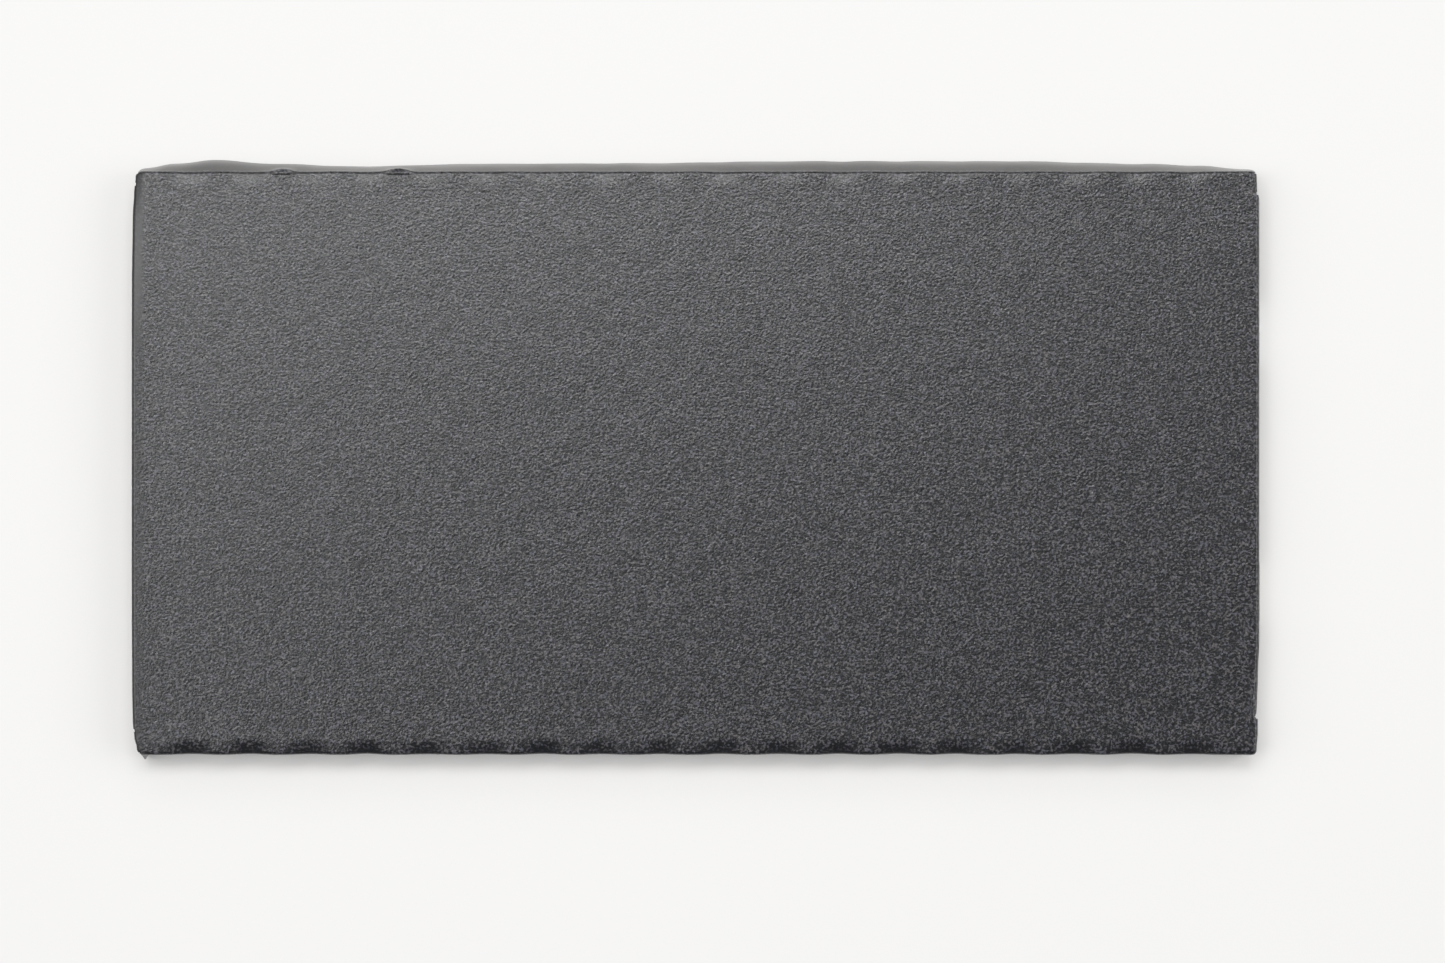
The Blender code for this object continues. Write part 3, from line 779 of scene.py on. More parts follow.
@dataclass(frozen=True)
class SmoothedGrain:
    """Where heat and pressure smoothed the grain of the cover and of the cup's rim."""

    fold_depth: float = 0.28 * MM
    fold_blend: float = 0.30 * MM
    dent_reach: float = 1.1 * MM
    dent_most: float = 0.95
    back_share: float = 0.25
    band: float = 0.95 * MM
    band_blend: float = 0.25 * MM
    band_strength: Table = ((6.0 * MM, 0.55), (16.0 * MM, 1.0))
    cup_from: float = 3.0 * MM
    cup_blend: float = 0.4 * MM

    def cover(self, point: Vector, pouch: "Pouch") -> float:
        """How smooth the cover is at a point.

        Args:
            point: A point on the cover.
            pouch: The pouch it belongs to.

        Returns:
            0 on the grainy face to 1 on the sealed rim.
        """
        x, y = point.x, point.y
        fold = smooth_step((pouch.height - self.fold_depth - point.z) / self.fold_blend)
        near = smooth_step(1 - (pouch.half_width - abs(y)) / self.dent_reach)
        dent = min(pouch.marks.press(x, y > 0) * near, self.dent_most)
        fold = max(fold, dent * (self.back_share if y > 0 else 1.0))
        if x > 0:
            return fold
        band = smooth_step((self.band - pouch.half_length - x) / self.band_blend)
        return max(fold, band * eased(y, self.band_strength))

    def cup(self, point: Vector) -> float:
        """How smooth the cup is at a point: smooth near its sealed rim."""
        return smooth_step((point.z - self.cup_from) / self.cup_blend)


@dataclass(frozen=True)
class Surface:
    """One side of a sheet: its flat grid, and its sections from the grid's rim to the cut."""

    grid: list[list[Vector]]
    sections: list[list[Vector]]


@dataclass
class Pouch:
    """The cover and the cup, sealed together, with the rim folded down over the cup's walls."""

    finishes: Finishes
    half_length: float = 47.8 * MM
    half_width: float = 24.7 * MM
    height: float = 4.0 * MM
    laminate: float = 0.15 * MM
    fit: float = 0.02 * MM
    fold_radius: float = 0.30 * MM
    turn_radius: float = 0.06 * MM
    rim_corner: float = 0.42 * MM
    cup_rim_corner: float = 0.06 * MM
    rim_bottom: float = 0.45 * MM
    terrace_bottom: float = 0.95 * MM
    slit: float = 0.25 * MM
    terrace: tuple[float, float] = (-21.5 * MM, 22.7 * MM)
    plain_flap: tuple[float, float] = (-22.6 * MM, 23.5 * MM)
    wall_inset: float = 0.50 * MM
    cup_corner: float = 1.4 * MM
    base_radius: float = 0.8 * MM
    tab_room: float = 0.32 * MM
    tab_place: float = 11.0 * MM
    tab_zone: tuple[float, float] = (4.7 * MM, 1.0 * MM)
    wing_end: float = 0.70
    station_pitch: float = 0.36 * MM
    middle_pitch: float = 1.0 * MM
    corner_steps: int = 5
    fold_steps: int = 7
    skirt_steps: int = 9
    bend_steps: int = 4
    wall_steps: int = 4
    # Rows of the fold that a slit leaves whole
    slit_start: int = 3
    # Rows across the cell: first step, its growth, the least gap and where they stand closer
    first_step: float = 0.12 * MM
    step_growth: float = 1.18
    least_gap: float = 0.13 * MM
    close_rows: tuple[float, ...] = tuple((-18.6 - 0.4 * i) * MM for i in range(7))
    marks: PressMarks = field(default_factory=PressMarks)
    grain: SmoothedGrain = SmoothedGrain()
    # The cut edge: where the aluminium foil shows in its thickness, and the cup's shorter rim
    foil_layer: tuple[float, float] = (0.22, 0.50)
    cut_row: float = 3.0 * MM
    rim_step: float = 0.03 * MM
    # The back wing: how soon its lean grows round a corner, and its belly
    lean_growth: float = 1.25
    wing_belly: float = 0.16
    # The fold line: where its shifts fade over the face, and front and back shares
    fold_margin: float = 0.15 * MM
    fold_fade: float = 0.9 * MM
    pull_share: tuple[float, float] = (0.7, 0.3)
    stand_out: tuple[float, float] = (0.11 * MM, 0.04 * MM)
    # The face's roll-off at the front, the plain end and the terrace end, and the free middle
    front_roll: float = 0.06 * MM
    front_roll_reach: float = 1.1 * MM
    end_reach: float = 1.15 * MM
    plain_roll: Table = in_mm((8.0, 0.02), (20.0, 0.09))
    plain_corner_roll: Table = in_mm((19.5, 0.0), (23.5, 0.10))
    terrace_roll: float = 0.015 * MM
    terrace_corner: tuple[Swell, ...] = in_mm((-19.5, 4.5, 0.11))
    face_margin: float = 2.0 * MM
    sink_fade: float = 1.9 * MM
    rise_margins: tuple[float, float] = (2.5 * MM, 0.3 * MM)
    wing_reach: Table = in_mm(
        (-47.0, 0.45), (-44.5, 0.85), (-41.2, 1.15),
        (-35.5, 0.82), (-29.0, 0.61), (-18.0, 0.84),
        (-5.0, 0.88), (8.0, 1.05), (27.0, 1.05),
        (38.0, 0.84), (43.0, 0.68), (47.0, 0.35),
    )
    # How far each end's fold line lies inside the full length, by place along Y
    terrace_inset: Table = in_mm(
        (-24.2, 0.16), (-23.0, 0.07), (-21.75, 0.06),
        (-21.5, 0.25), (-20.3, 0.19), (-18.4, 0.12),
        (-14.7, 0.0), (22.7, 0.0), (22.95, 0.12), (24.5, 0.16),
    )
    plain_inset: Table = in_mm(
        (-24.9, 0.60), (-24.2, 0.38), (-23.3, 0.18),
        (-22.1, 0.05), (-19.0, -0.01), (-12.0, -0.04),
        (15.0, -0.04), (21.0, 0.03), (22.9, 0.14),
        (24.3, 0.27), (24.9, 0.47),
    )
    # Small places where the back fold stands out, and the valley in the face behind each
    lifts: tuple[Swell, ...] = in_mm(
        (-35.0, 1.25, 0.22), (-25.2, 1.45, 0.26),
    )
    lift_from: float = 2.9 * MM
    lift_rise: float = 0.7 * MM
    lift_start: float = 1.4
    lift_band: float = 0.17 * MM
    valley_inset: float = 0.20 * MM
    valley_share: float = 0.9
    # The front wing's free corners turn out below a height
    flares: tuple[Swell, ...] = in_mm(
        (-47.30, 0.8, 0.50), (47.15, 0.7, 0.14),
    )
    flare_top: float = 3.5 * MM
    flare_fall: float = 1.8 * MM
    flare_band: float = 0.5 * MM

    def __post_init__(self) -> None:
        """Lays out the grid places that the cover and the cup share."""
        face = RoundedOutline(
            self.half_length - self.fold_radius,
            self.half_width - self.fold_radius,
            self.rim_corner - self.fold_radius,
        )
        self.face = face
        rim_inset = 2 * self.laminate + self.fit + self.turn_radius
        self.rim = RoundedOutline(
            self.half_length - rim_inset,
            self.half_width - rim_inset,
            self.cup_rim_corner,
        )
        straight_x = face.half_length - face.corner
        straight_y = face.half_width - face.corner
        corner = [1 + step / self.corner_steps for step in range(1, self.corner_steps + 1)]
        count = round(2 * straight_x / self.station_pitch)
        along = [2 * step / count - 1 for step in range(count + 1)]
        self.us = [-place for place in reversed(corner)] + along + corner
        across = [place / straight_y for place in self.cross_places(straight_y)]
        self.vs = [-place for place in reversed(corner)] + across + corner
        last_u, last_v = len(self.us) - 1, len(self.vs) - 1
        self.loop = (
            [(last_u, j) for j in range(last_v + 1)]
            + [(i, last_v) for i in range(last_u - 1, -1, -1)]
            + [(0, j) for j in range(last_v - 1, -1, -1)]
            + [(i, 0) for i in range(1, last_u)]
        )

    def slit_edges(self, flap: tuple[float, float]) -> list[float]:
        """Places of both edges of the two slits beside a flap."""
        low, high = flap
        return [low - self.slit, low, high, high + self.slit]

    def cross_places(self, limit: float) -> list[float]:
        """Chooses places across the cell: close together near the long edges.

        Args:
            limit: Half of the straight part of an end.

        Returns:
            Places from front to back, with every slit's edges among them.
        """
        needed = self.slit_edges(self.terrace) + self.slit_edges(self.plain_flap)
        needed += [-limit, limit]
        wanted: list[float] = []
        step, place = self.first_step, limit
        while place > 0:
            place -= step
            step = min(step * self.step_growth, self.middle_pitch)
            wanted += [place, -place] if place > step / 2 else []
        chosen = sorted(needed)
        for place in wanted + list(self.close_rows):
            if all(abs(place - other) > self.least_gap for other in chosen):
                chosen.append(place)
        return sorted(chosen)

    # The rim's shape

    def lean(self, x: float, station: Station) -> float:
        """How far the rim leans out: only the back wing stands off the cup.

        Args:
            x: Place along the cell.
            station: The rim's station.

        Returns:
            The angle from upright.
        """
        if station.normal.y < self.wing_end:
            return 0.0
        depth = self.height - self.fold_radius - self.rim_bottom
        reach = eased(x, self.wing_reach) + Wander.WING.at(x, 0.0)
        return math.atan2(reach * smooth_step(station.normal.y * self.lean_growth), depth)

    def bottom(self, station: Station, y: float) -> float:
        """Height of the rim's cut edge.

        Args:
            station: The rim's station.
            y: Its place along Y.

        Returns:
            The height, with the slight wander of a hand-guided cut.
        """
        low, high = self.terrace
        if station.normal.x > STRAIGHT and low - self.fit < y < high + self.fit:
            return self.terrace_bottom
        along = station.point.x if abs(station.normal.y) > 0.5 else y
        return self.rim_bottom + Wander.CUT.above(along, self.cut_row)

    def near_fold(self, inset: float) -> float:
        """How much of the fold line's shift is left at a distance inside it, 1 to 0."""
        return smooth_step(1 - (inset - self.fold_margin) / self.fold_fade)

    def fold_shift(self, point: Vector) -> Vector:
        """How far the fold line lies from its ideal place, seen from above.

        Args:
            point: A point on the sheet.

        Returns:
            The shift, which fades out over the face's edge.
        """
        x, y = point.x, point.y
        back = y > 0
        insets = self.terrace_inset if x > 0 else self.plain_inset
        shift_x = eased(y, insets) * self.near_fold(self.half_length - abs(x))
        inward = self.marks.pull * self.marks.press(x, back) * self.pull_share[back]
        inward += Wander.FOLD.at(x, y) - self.stand_out[back]
        inward *= self.near_fold(self.half_width - abs(y))
        if back:
            high = smooth_step((point.z - self.lift_from) / self.lift_rise)
            outer = smooth_step(self.lift_start - (self.half_width - y) / self.lift_band)
            inward -= swelling(x, self.lifts) * high * outer
        return Vector((-shift_x if x > 0 else shift_x, -inward if back else inward))

    def sink(self, point: Vector) -> float:
        """How far the cover's face lies below its full height.

        Args:
            point: A point on the sheet.

        Returns:
            The depth.
        """
        x, y = point.x, point.y
        inset = max(self.half_width - abs(y), 0.0)
        end_inset = max(self.half_length - abs(x), 0.0)
        near = smooth_step(1 - inset / self.marks.reach)
        depth = self.marks.depth * self.marks.press(x, y > 0) * near
        if y > 0:
            valley = hump(inset - self.valley_inset, self.lift_band)
            depth = depth * self.marks.back_share
            depth += self.valley_share * swelling(x, self.lifts) * valley
        else:
            depth += self.front_roll * smooth_step(1 - inset / self.front_roll_reach)
        if x < 0:
            roll = eased(y, self.plain_roll) + eased(y, self.plain_corner_roll)
        else:
            roll = self.terrace_roll + swelling(y, self.terrace_corner)
        depth += roll * smooth_step(1 - end_inset / self.end_reach)
        free = smooth_step(inset / self.face_margin) * smooth_step(end_inset / self.face_margin)
        return depth + Wander.FACE.above(x, y) * free

    def flare(self, point: Vector) -> float:
        """How far a wing's free corner turns out at the front, along -Y.

        Args:
            point: A point on the sheet.

        Returns:
            The reach.
        """
        if point.y > self.flare_band - self.half_width:
            return 0.0
        return swelling(point.x, self.flares) * smooth_step(
            (self.flare_top - point.z) / self.flare_fall)

    def follow(self, point: Vector) -> float:
        """How much of the face's sinking a point follows: all at the fold, none low down."""
        below = self.height - self.fold_radius - point.z
        return smooth_step(1 - below / self.sink_fade)

    def settle(self, point: Vector, deep: float) -> Vector:
        """Moves a point of the ideal sheet to where the real sheet has it.

        Args:
            point: The ideal point.
            deep: How much of the face's sinking it follows, 0 to 1.

        Returns:
            The final point.
        """
        shift = self.fold_shift(point)
        down = self.sink(point) * deep
        out = self.flare(point)
        return Vector((point.x + shift.x, point.y + shift.y - out, point.z - down))

    def is_slit(self, a: Station, b: Station) -> bool:
        """Whether the stretch of rim between two stations is cut away.

        Args:
            a: One station.
            b: The next.

        Returns:
            True inside a slit.
        """
        if abs(a.normal.x) < STRAIGHT or abs(b.normal.x) < STRAIGHT:
            free = a.normal.x < 0 or a.normal.y > 0
            ends = (abs(a.normal.y) > self.wing_end) != (abs(b.normal.y) > self.wing_end)
            return free and ends
        middle = (a.point.y + b.point.y) / 2
        low, high = self.terrace if a.normal.x > 0 else self.plain_flap
        return any(0 < side < self.slit for side in (low - middle, middle - high))

    # Sections

    @staticmethod
    def arc(centre: Vector, normal: Vector, z: float, radius: float, start: float, end: float,
            steps: int) -> list[Vector]:
        """Points on an upright arc; angle 0 points outwards and a quarter turn up.

        Args:
            centre: Its centre seen from above.
            normal: Outward direction.
            z: Height of its centre.
            radius: Its radius.
            start: First angle.
            end: Last angle.
            steps: How many steps it takes.

        Returns:
            The points.
        """
        points = []
        for step in range(steps + 1):
            angle = start + (end - start) * step / steps
            at = centre + normal * (radius * math.cos(angle))
            points.append(Vector((at.x, at.y, z + radius * math.sin(angle))))
        return points

    @staticmethod
    def run(start: Vector, end: Vector, steps: int) -> list[Vector]:
        """Evenly spaced points after the start, up to the end."""
        return [start.lerp(end, step / steps) for step in range(1, steps + 1)]

    def skirt(self, start: Vector, station: Station, lean: float, bottom: float) -> list[Vector]:
        """Points from a fold's end straight down to the cut edge.

        Args:
            start: The fold's last point.
            station: The rim's station.
            lean: How far it leans out.
            bottom: Height of the cut edge.

        Returns:
            The points, with a slight belly in the leaning wing.
        """
        run = start.z - bottom
        out = station.normal * (run * math.tan(lean))
        end = Vector((start.x + out.x, start.y + out.y, bottom))
        points = self.run(start, end, self.skirt_steps)
        for index, point in enumerate(points):
            share = (index + 1) / self.skirt_steps
            belly = math.sin(math.pi * share) * self.wing_belly * math.tan(lean) * run
            point.x += station.normal.x * belly
            point.y += station.normal.y * belly
        return points

    def cover_surface(self, inner: bool) -> Surface:
        """One side of the cover.

        Args:
            inner: Whether it is the heat-seal side.

        Returns:
            The surface in its final place.
        """
        radius = self.fold_radius - (self.laminate if inner else 0.0)
        top = self.height - (self.laminate if inner else 0.0)
        fold_z = self.height - self.fold_radius
        grid = [[self.face.point(u, v).to_3d() for v in self.vs] for u in self.us]
        for column in grid:
            for j, point in enumerate(column):
                column[j] = self.settle(Vector((point.x, point.y, top)), 1.0)
        sections = []
        for i, j in self.loop:
            station = self.face.station(self.us[i], self.vs[j])
            lean = self.lean(station.point.x, station)
            rows = self.arc(station.point, station.normal, fold_z, radius, math.pi / 2, lean,
                            self.fold_steps)[1:]
            bottom = self.bottom(station, station.point.y)
            rows += self.skirt(rows[-1], station, lean, bottom)
            sections.append([self.settle(p, self.follow(p)) for p in rows])
        return Surface(grid, sections)

    def tab_drop(self, y: float) -> float:
        """How far the cup's rim lies lower to make room for a tab and its films.

        Args:
            y: Place along the end.

        Returns:
            The drop.
        """
        edge, blend = self.tab_zone
        zone = max(
            smooth_step((edge + blend - abs(y - side * self.tab_place)) / blend)
            for side in (-1, 1)
        )
        return self.tab_room * zone

    def cup_surface(self, inner: bool) -> Surface:
        """One side of the cup.

        Args:
            inner: Whether it is the heat-seal side.

        Returns:
            The surface in its final place.
        """
        thick = self.laminate if inner else 0.0
        low_x = self.wall_inset - self.half_length
        high_x = self.half_length - self.wall_inset - self.tab_room
        base = RoundedOutline(
            (high_x - low_x) / 2 - self.base_radius,
            self.half_width - self.wall_inset - self.base_radius,
            self.cup_corner - self.base_radius,
            (high_x + low_x) / 2,
        )
        grid = []
        for u in self.us:
            column = []
            for v in self.vs:
                at = base.point(u, v)
                edge = min(base.half_length - abs(at.x - base.centre_x),
                           base.half_width - abs(at.y))
                rise = Wander.BASE.above(at.x, at.y)
                for margin in self.rise_margins:
                    rise *= smooth_step(edge / margin)
                column.append(Vector((at.x, at.y, thick + rise)))
            grid.append(column)
        seal_top = self.height - self.laminate - self.fit
        turn = self.turn_radius + thick
        sections = []
        for i, j in self.loop:
            rim = self.rim.station(self.us[i], self.vs[j])
            foot = base.station(self.us[i], self.vs[j])
            drop = self.tab_drop(rim.point.y) if rim.normal.x > STRAIGHT else 0.0
            lean = self.lean(rim.point.x, rim)
            rows = self.arc(foot.point, foot.normal, self.base_radius, self.base_radius - thick,
                            -math.pi / 2, 0.0, self.fold_steps)[1:]
            top_z = seal_top - drop - self.laminate - self.turn_radius
            wall = foot.point + foot.normal * (self.base_radius + self.turn_radius)
            bend = self.arc(wall, foot.normal, top_z, turn, math.pi, math.pi / 2,
                            self.bend_steps)
            rows += self.run(rows[-1], bend[0], self.wall_steps) + bend[1:]
            centre = rim.point - rim.normal * drop
            over = self.arc(centre, rim.normal, top_z, turn, math.pi / 2, lean, self.bend_steps)
            bottom = self.bottom(rim, rim.point.y) + self.rim_step
            over += self.skirt(over[-1], rim, lean, bottom)
            for point in rows:
                point.z -= self.sink(point) * self.follow(point)
            sections.append(rows + [self.settle(p, self.follow(p)) for p in over])
        return Surface(grid, sections)

    # Meshes

    def sheet_mesh(self, name: str, outer: Surface, inner: Surface, slit_row: int,
                   flip: bool) -> bpy.types.Mesh:
        """Joins a sheet's two sides round its cut edge into one closed mesh.

        The cut edge shows the laminate's layers: nylon, aluminium foil, then heat-seal film.

        Args:
            name: The mesh's name.
            outer: The nylon side.
            inner: The heat-seal side.
            slit_row: The row of a section where a slit starts.
            flip: True where the nylon side faces down.

        Returns:
            The mesh, with its three finishes.
        """
        points: list[Vector] = []
        faces: list[tuple[int, ...]] = []
        kinds: list[int] = []

        def add(corners: Sequence[int], kind: int) -> None:
            """Adds a face of one finish."""
            faces.append(tuple(reversed(corners)) if flip else tuple(corners))
            kinds.append(kind)

        grids = []
        for surface in (outer, inner):
            grid = []
            for column in surface.grid:
                grid.append(range(len(points), len(points) + len(column)))
                points.extend(column)
            grids.append(grid)
        for side, grid in enumerate(grids):
            for left, right in zip(grid, grid[1:]):
                for j in range(len(left) - 1):
                    corners = (left[j], right[j], right[j + 1], left[j + 1])
                    add(corners if side == 0 else corners[::-1], 2 * side)
        rows = len(outer.sections[0])
        chains = []
        for (i, j), out, back in zip(self.loop, outer.sections, inner.sections):
            cut = [out[-1].lerp(back[-1], share) for share in self.foil_layer]
            own = out + cut + list(reversed(back))
            start = len(points)
            points.extend(own)
            chains.append([grids[0][i][j], *range(start, start + len(own)), grids[1][i][j]])
        last = len(chains[0]) - 1
        row_kinds = [0] * rows + [0, 1, 2] + [2] * rows
        stations = [self.face.station(self.us[i], self.vs[j]) for i, j in self.loop]
        slits = [self.is_slit(a, b) for a, b in zip(stations, stations[1:] + stations[:1])]
        mirror = last - slit_row
        for place, here in enumerate(chains):
            following = chains[(place + 1) % len(chains)]
            for row in range(last):
                if not slits[place] or row < slit_row or row >= mirror:
                    add((here[row], here[row + 1], following[row + 1], following[row]),
                        row_kinds[row])
            if slits[place]:
                add((here[slit_row], here[mirror], following[mirror], following[slit_row]), 1)
            if slits[place] != slits[place - 1]:
                for row in range(slit_row, (last - 1) // 2):
                    wall = (here[row], here[row + 1], here[last - row - 1], here[last - row])
                    add(wall if slits[place] else wall[::-1], 1)
        mesh = bpy.data.meshes.new(name)
        mesh.from_pydata(points, [], faces)
        for polygon, kind in zip(mesh.polygons, kinds):
            polygon.material_index = kind
        for slot in ("laminate", "cut_foil", "inner_film"):
            mesh.materials.append(self.finishes.get(slot))
        shade(mesh)
        return mesh

    def mark_pressed(self, mesh: bpy.types.Mesh, smooth: Callable[[Vector], float]) -> None:
        """Stores where heat and pressure smoothed the grain.

        Args:
            mesh: The sheet's mesh.
            smooth: Gives 0 for full grain to 1 for smooth, at a point.
        """
        layer = mesh.attributes.new("pressed", "FLOAT", "POINT")
        layer.data.foreach_set("value", [smooth(vertex.co) for vertex in mesh.vertices])

    def build(self) -> None:
        """Builds the cover and the cup."""
        cover = self.sheet_mesh("pouch_cover_sheet", self.cover_surface(False),
                                self.cover_surface(True), self.slit_start, False)
        self.mark_pressed(cover, lambda point: self.grain.cover(point, self))
        finished_object("pouch_cover_sheet", cover, "laminate", "pouch_cover")
        slit_row = self.fold_steps + self.wall_steps + self.bend_steps + self.slit_start
        cup = self.sheet_mesh("pouch_cup_sheet", self.cup_surface(False),
                              self.cup_surface(True), slit_row, True)
        self.mark_pressed(cup, self.grain.cup)
        finished_object("pouch_cup_sheet", cup, "laminate", "pouch_cup")


# Glue behind the side wings


@dataclass
class SideGlue:
    """Hot-melt beads behind the side wings, swollen at each pressed spot."""

    finishes: Finishes
    pouch: Pouch
    middle: float = 2.05 * MM
    thin: float = 0.35 * MM
    fat: float = 0.95 * MM
    clearance: float = 0.02 * MM
    wedge_spare: float = 0.06 * MM
    pull_share: float = 0.4
    unevenness: float = 0.30 * MM
    lumps: float = 420.0
    ring_points: int = 20
    steps_per_spot: int = 20

    SIZES = ("Pitch", "First Spot", "Side", "Wall", "Gap", "Fold Height", "Middle", "Thin",
             "Fat", "Unevenness")

    def tree(self) -> bpy.types.NodeTree:
        """Builds the node tree that turns a spine into a bead.

        Returns:
            The tree, with the bead's sizes as its named inputs.
        """
        tree = bpy.data.node_groups.new("glue_bead", "GeometryNodeTree")
        ports = tree.interface
        ports.new_socket("Geometry", in_out="INPUT", socket_type="NodeSocketGeometry")
        for name in self.SIZES:
            ports.new_socket(name, in_out="INPUT", socket_type="NodeSocketFloat")
        ports.new_socket("Material", in_out="INPUT", socket_type="NodeSocketMaterial")
        ports.new_socket("Geometry", in_out="OUTPUT", socket_type="NodeSocketGeometry")
        sheet = NodeSheet(tree)
        size = sheet.node("NodeGroupInput").outputs
        ring = sheet.node("GeometryNodeCurvePrimitiveCircle",
                          {"Resolution": self.ring_points, "Radius": 1.0})
        spine = sheet.node("GeometryNodeMeshToCurve", {0: size["Geometry"]})
        tube = sheet.node("GeometryNodeCurveToMesh",
                          {"Curve": spine.outputs[0], "Profile Curve": ring.outputs[0],
                           "Fill Caps": True})
        place = sheet.node("GeometryNodeInputPosition").outputs[0]
        x, y, z = sheet.node("ShaderNodeSeparateXYZ", {0: place}).outputs
        lean = sheet.node("GeometryNodeInputNamedAttribute", {"Name": "lean"},
                          data_type="FLOAT").outputs[0]
        turn = sheet.sum("MULTIPLY",
                         sheet.sum("DIVIDE", sheet.sum("SUBTRACT", x, size["First Spot"]),
                                   size["Pitch"]), 2 * math.pi)
        wave = sheet.sum("MULTIPLY_ADD", sheet.sum("COSINE", turn), 0.5, 0.5)
        swell = sheet.sum("MULTIPLY", sheet.sum("SUBTRACT", size["Fat"], size["Thin"]), wave)
        along = sheet.node("ShaderNodeCombineXYZ", {0: x, 1: size["Side"]}).outputs[0]
        uneven = sheet.sum("SUBTRACT", sheet.grain(self.lumps, where=along), 0.5)
        half = sheet.sum("ADD", sheet.sum("ADD", size["Thin"], swell),
                         sheet.sum("MULTIPLY", uneven, size["Unevenness"]))
        height = sheet.sum("MULTIPLY_ADD", z, half, size["Middle"])
        fill = sheet.sum("MULTIPLY_ADD", y, 0.5, 0.5)
        wedge = sheet.sum("MULTIPLY", lean, sheet.sum("SUBTRACT", size["Fold Height"], height))
        room = sheet.sum("ADD", size["Gap"], wedge)
        out = sheet.sum("MULTIPLY", size["Side"],
                        sheet.sum("MULTIPLY_ADD", fill, room, size["Wall"]))
        final = sheet.node("ShaderNodeCombineXYZ", {0: x, 1: out, 2: height}).outputs[0]
        moved = sheet.node("GeometryNodeSetPosition", {0: tube.outputs[0], "Position": final})
        whole = sheet.node("GeometryNodeRealizeInstances", {0: moved.outputs[0]})
        dressed = sheet.node("GeometryNodeSetMaterial",
                             {0: whole.outputs[0], "Material": size["Material"]})
        sheet.node("NodeGroupOutput", {0: dressed.outputs[0]})
        return tree

    def spine(self, side: int) -> bpy.types.Mesh:
        """Makes the line that a bead follows, with the wing's lean at each point.

        Args:
            side: 1 for the back wing, -1 for the front.

        Returns:
            The line as a mesh of edges.
        """
        marks = self.pouch.marks
        count = marks.spots * self.steps_per_spot
        xs = [marks.start_x + marks.pitch * (step / self.steps_per_spot - 0.5)
              for step in range(count + 1)]
        mesh = bpy.data.meshes.new("glue_spine")
        mesh.from_pydata([(x, 0.0, 0.0) for x in xs], [(i, i + 1) for i in range(count)], [])
        layer = mesh.attributes.new("lean", "FLOAT", "POINT")
        back = self.pouch.face.station(0.0, 2.0)
        leans = [math.tan(self.pouch.lean(x, back)) if side > 0 else 0.0 for x in xs]
        layer.data.foreach_set("value", leans)
        return mesh

    def bead(self, name: str, node: str, side: int, tree: bpy.types.NodeTree) -> None:
        """Builds one bead.

        Args:
            name: The piece's name.
            node: The CAD node it stands for.
            side: 1 for the back wing, -1 for the front.
            tree: The bead's node tree.
        """
        pouch = self.pouch
        wall = pouch.half_width - pouch.wall_inset + self.clearance
        rim = pouch.half_width - 2 * pouch.laminate - 2 * self.clearance
        pull = pouch.marks.pull if side < 0 else self.wedge_spare
        values = {
            "Pitch": pouch.marks.pitch, "First Spot": pouch.marks.start_x, "Side": float(side),
            "Wall": wall, "Gap": rim - wall - self.pull_share * pull, "Middle": self.middle,
            "Fold Height": pouch.height - pouch.fold_radius, "Thin": self.thin,
            "Fat": self.fat, "Unevenness": self.unevenness,
            "Material": self.finishes.get("hot_melt"),
        }
        worker = place_object(f"{name}_spine", self.spine(side))
        modifier = worker.modifiers.new("bead", "NODES")
        modifier.node_group = tree
        for item in tree.interface.items_tree:
            if item.in_out == "INPUT" and item.name in values:
                modifier[item.identifier] = values[item.name]
        graph = bpy.context.evaluated_depsgraph_get()
        mesh = bpy.data.meshes.new_from_object(worker.evaluated_get(graph))
        worker.modifiers.remove(modifier)
        bpy.data.objects.remove(worker, do_unlink=True)
        if side < 0:
            mesh.flip_normals()
        shade(mesh, 60.0)
        finished_object(name, mesh, "hot_melt", node)

    def build(self) -> None:
        """Builds both beads and dresses the glue pads behind the end flaps."""
        tree = self.tree()
        self.bead("glue_bead_front", "side_glue_front", -1, tree)
        self.bead("glue_bead_back", "side_glue_back", 1, tree)
        for node in ("end_glue_left", "end_glue_right"):
            self.finishes.dress(node, "hot_melt")


# Terrace, tabs and stack


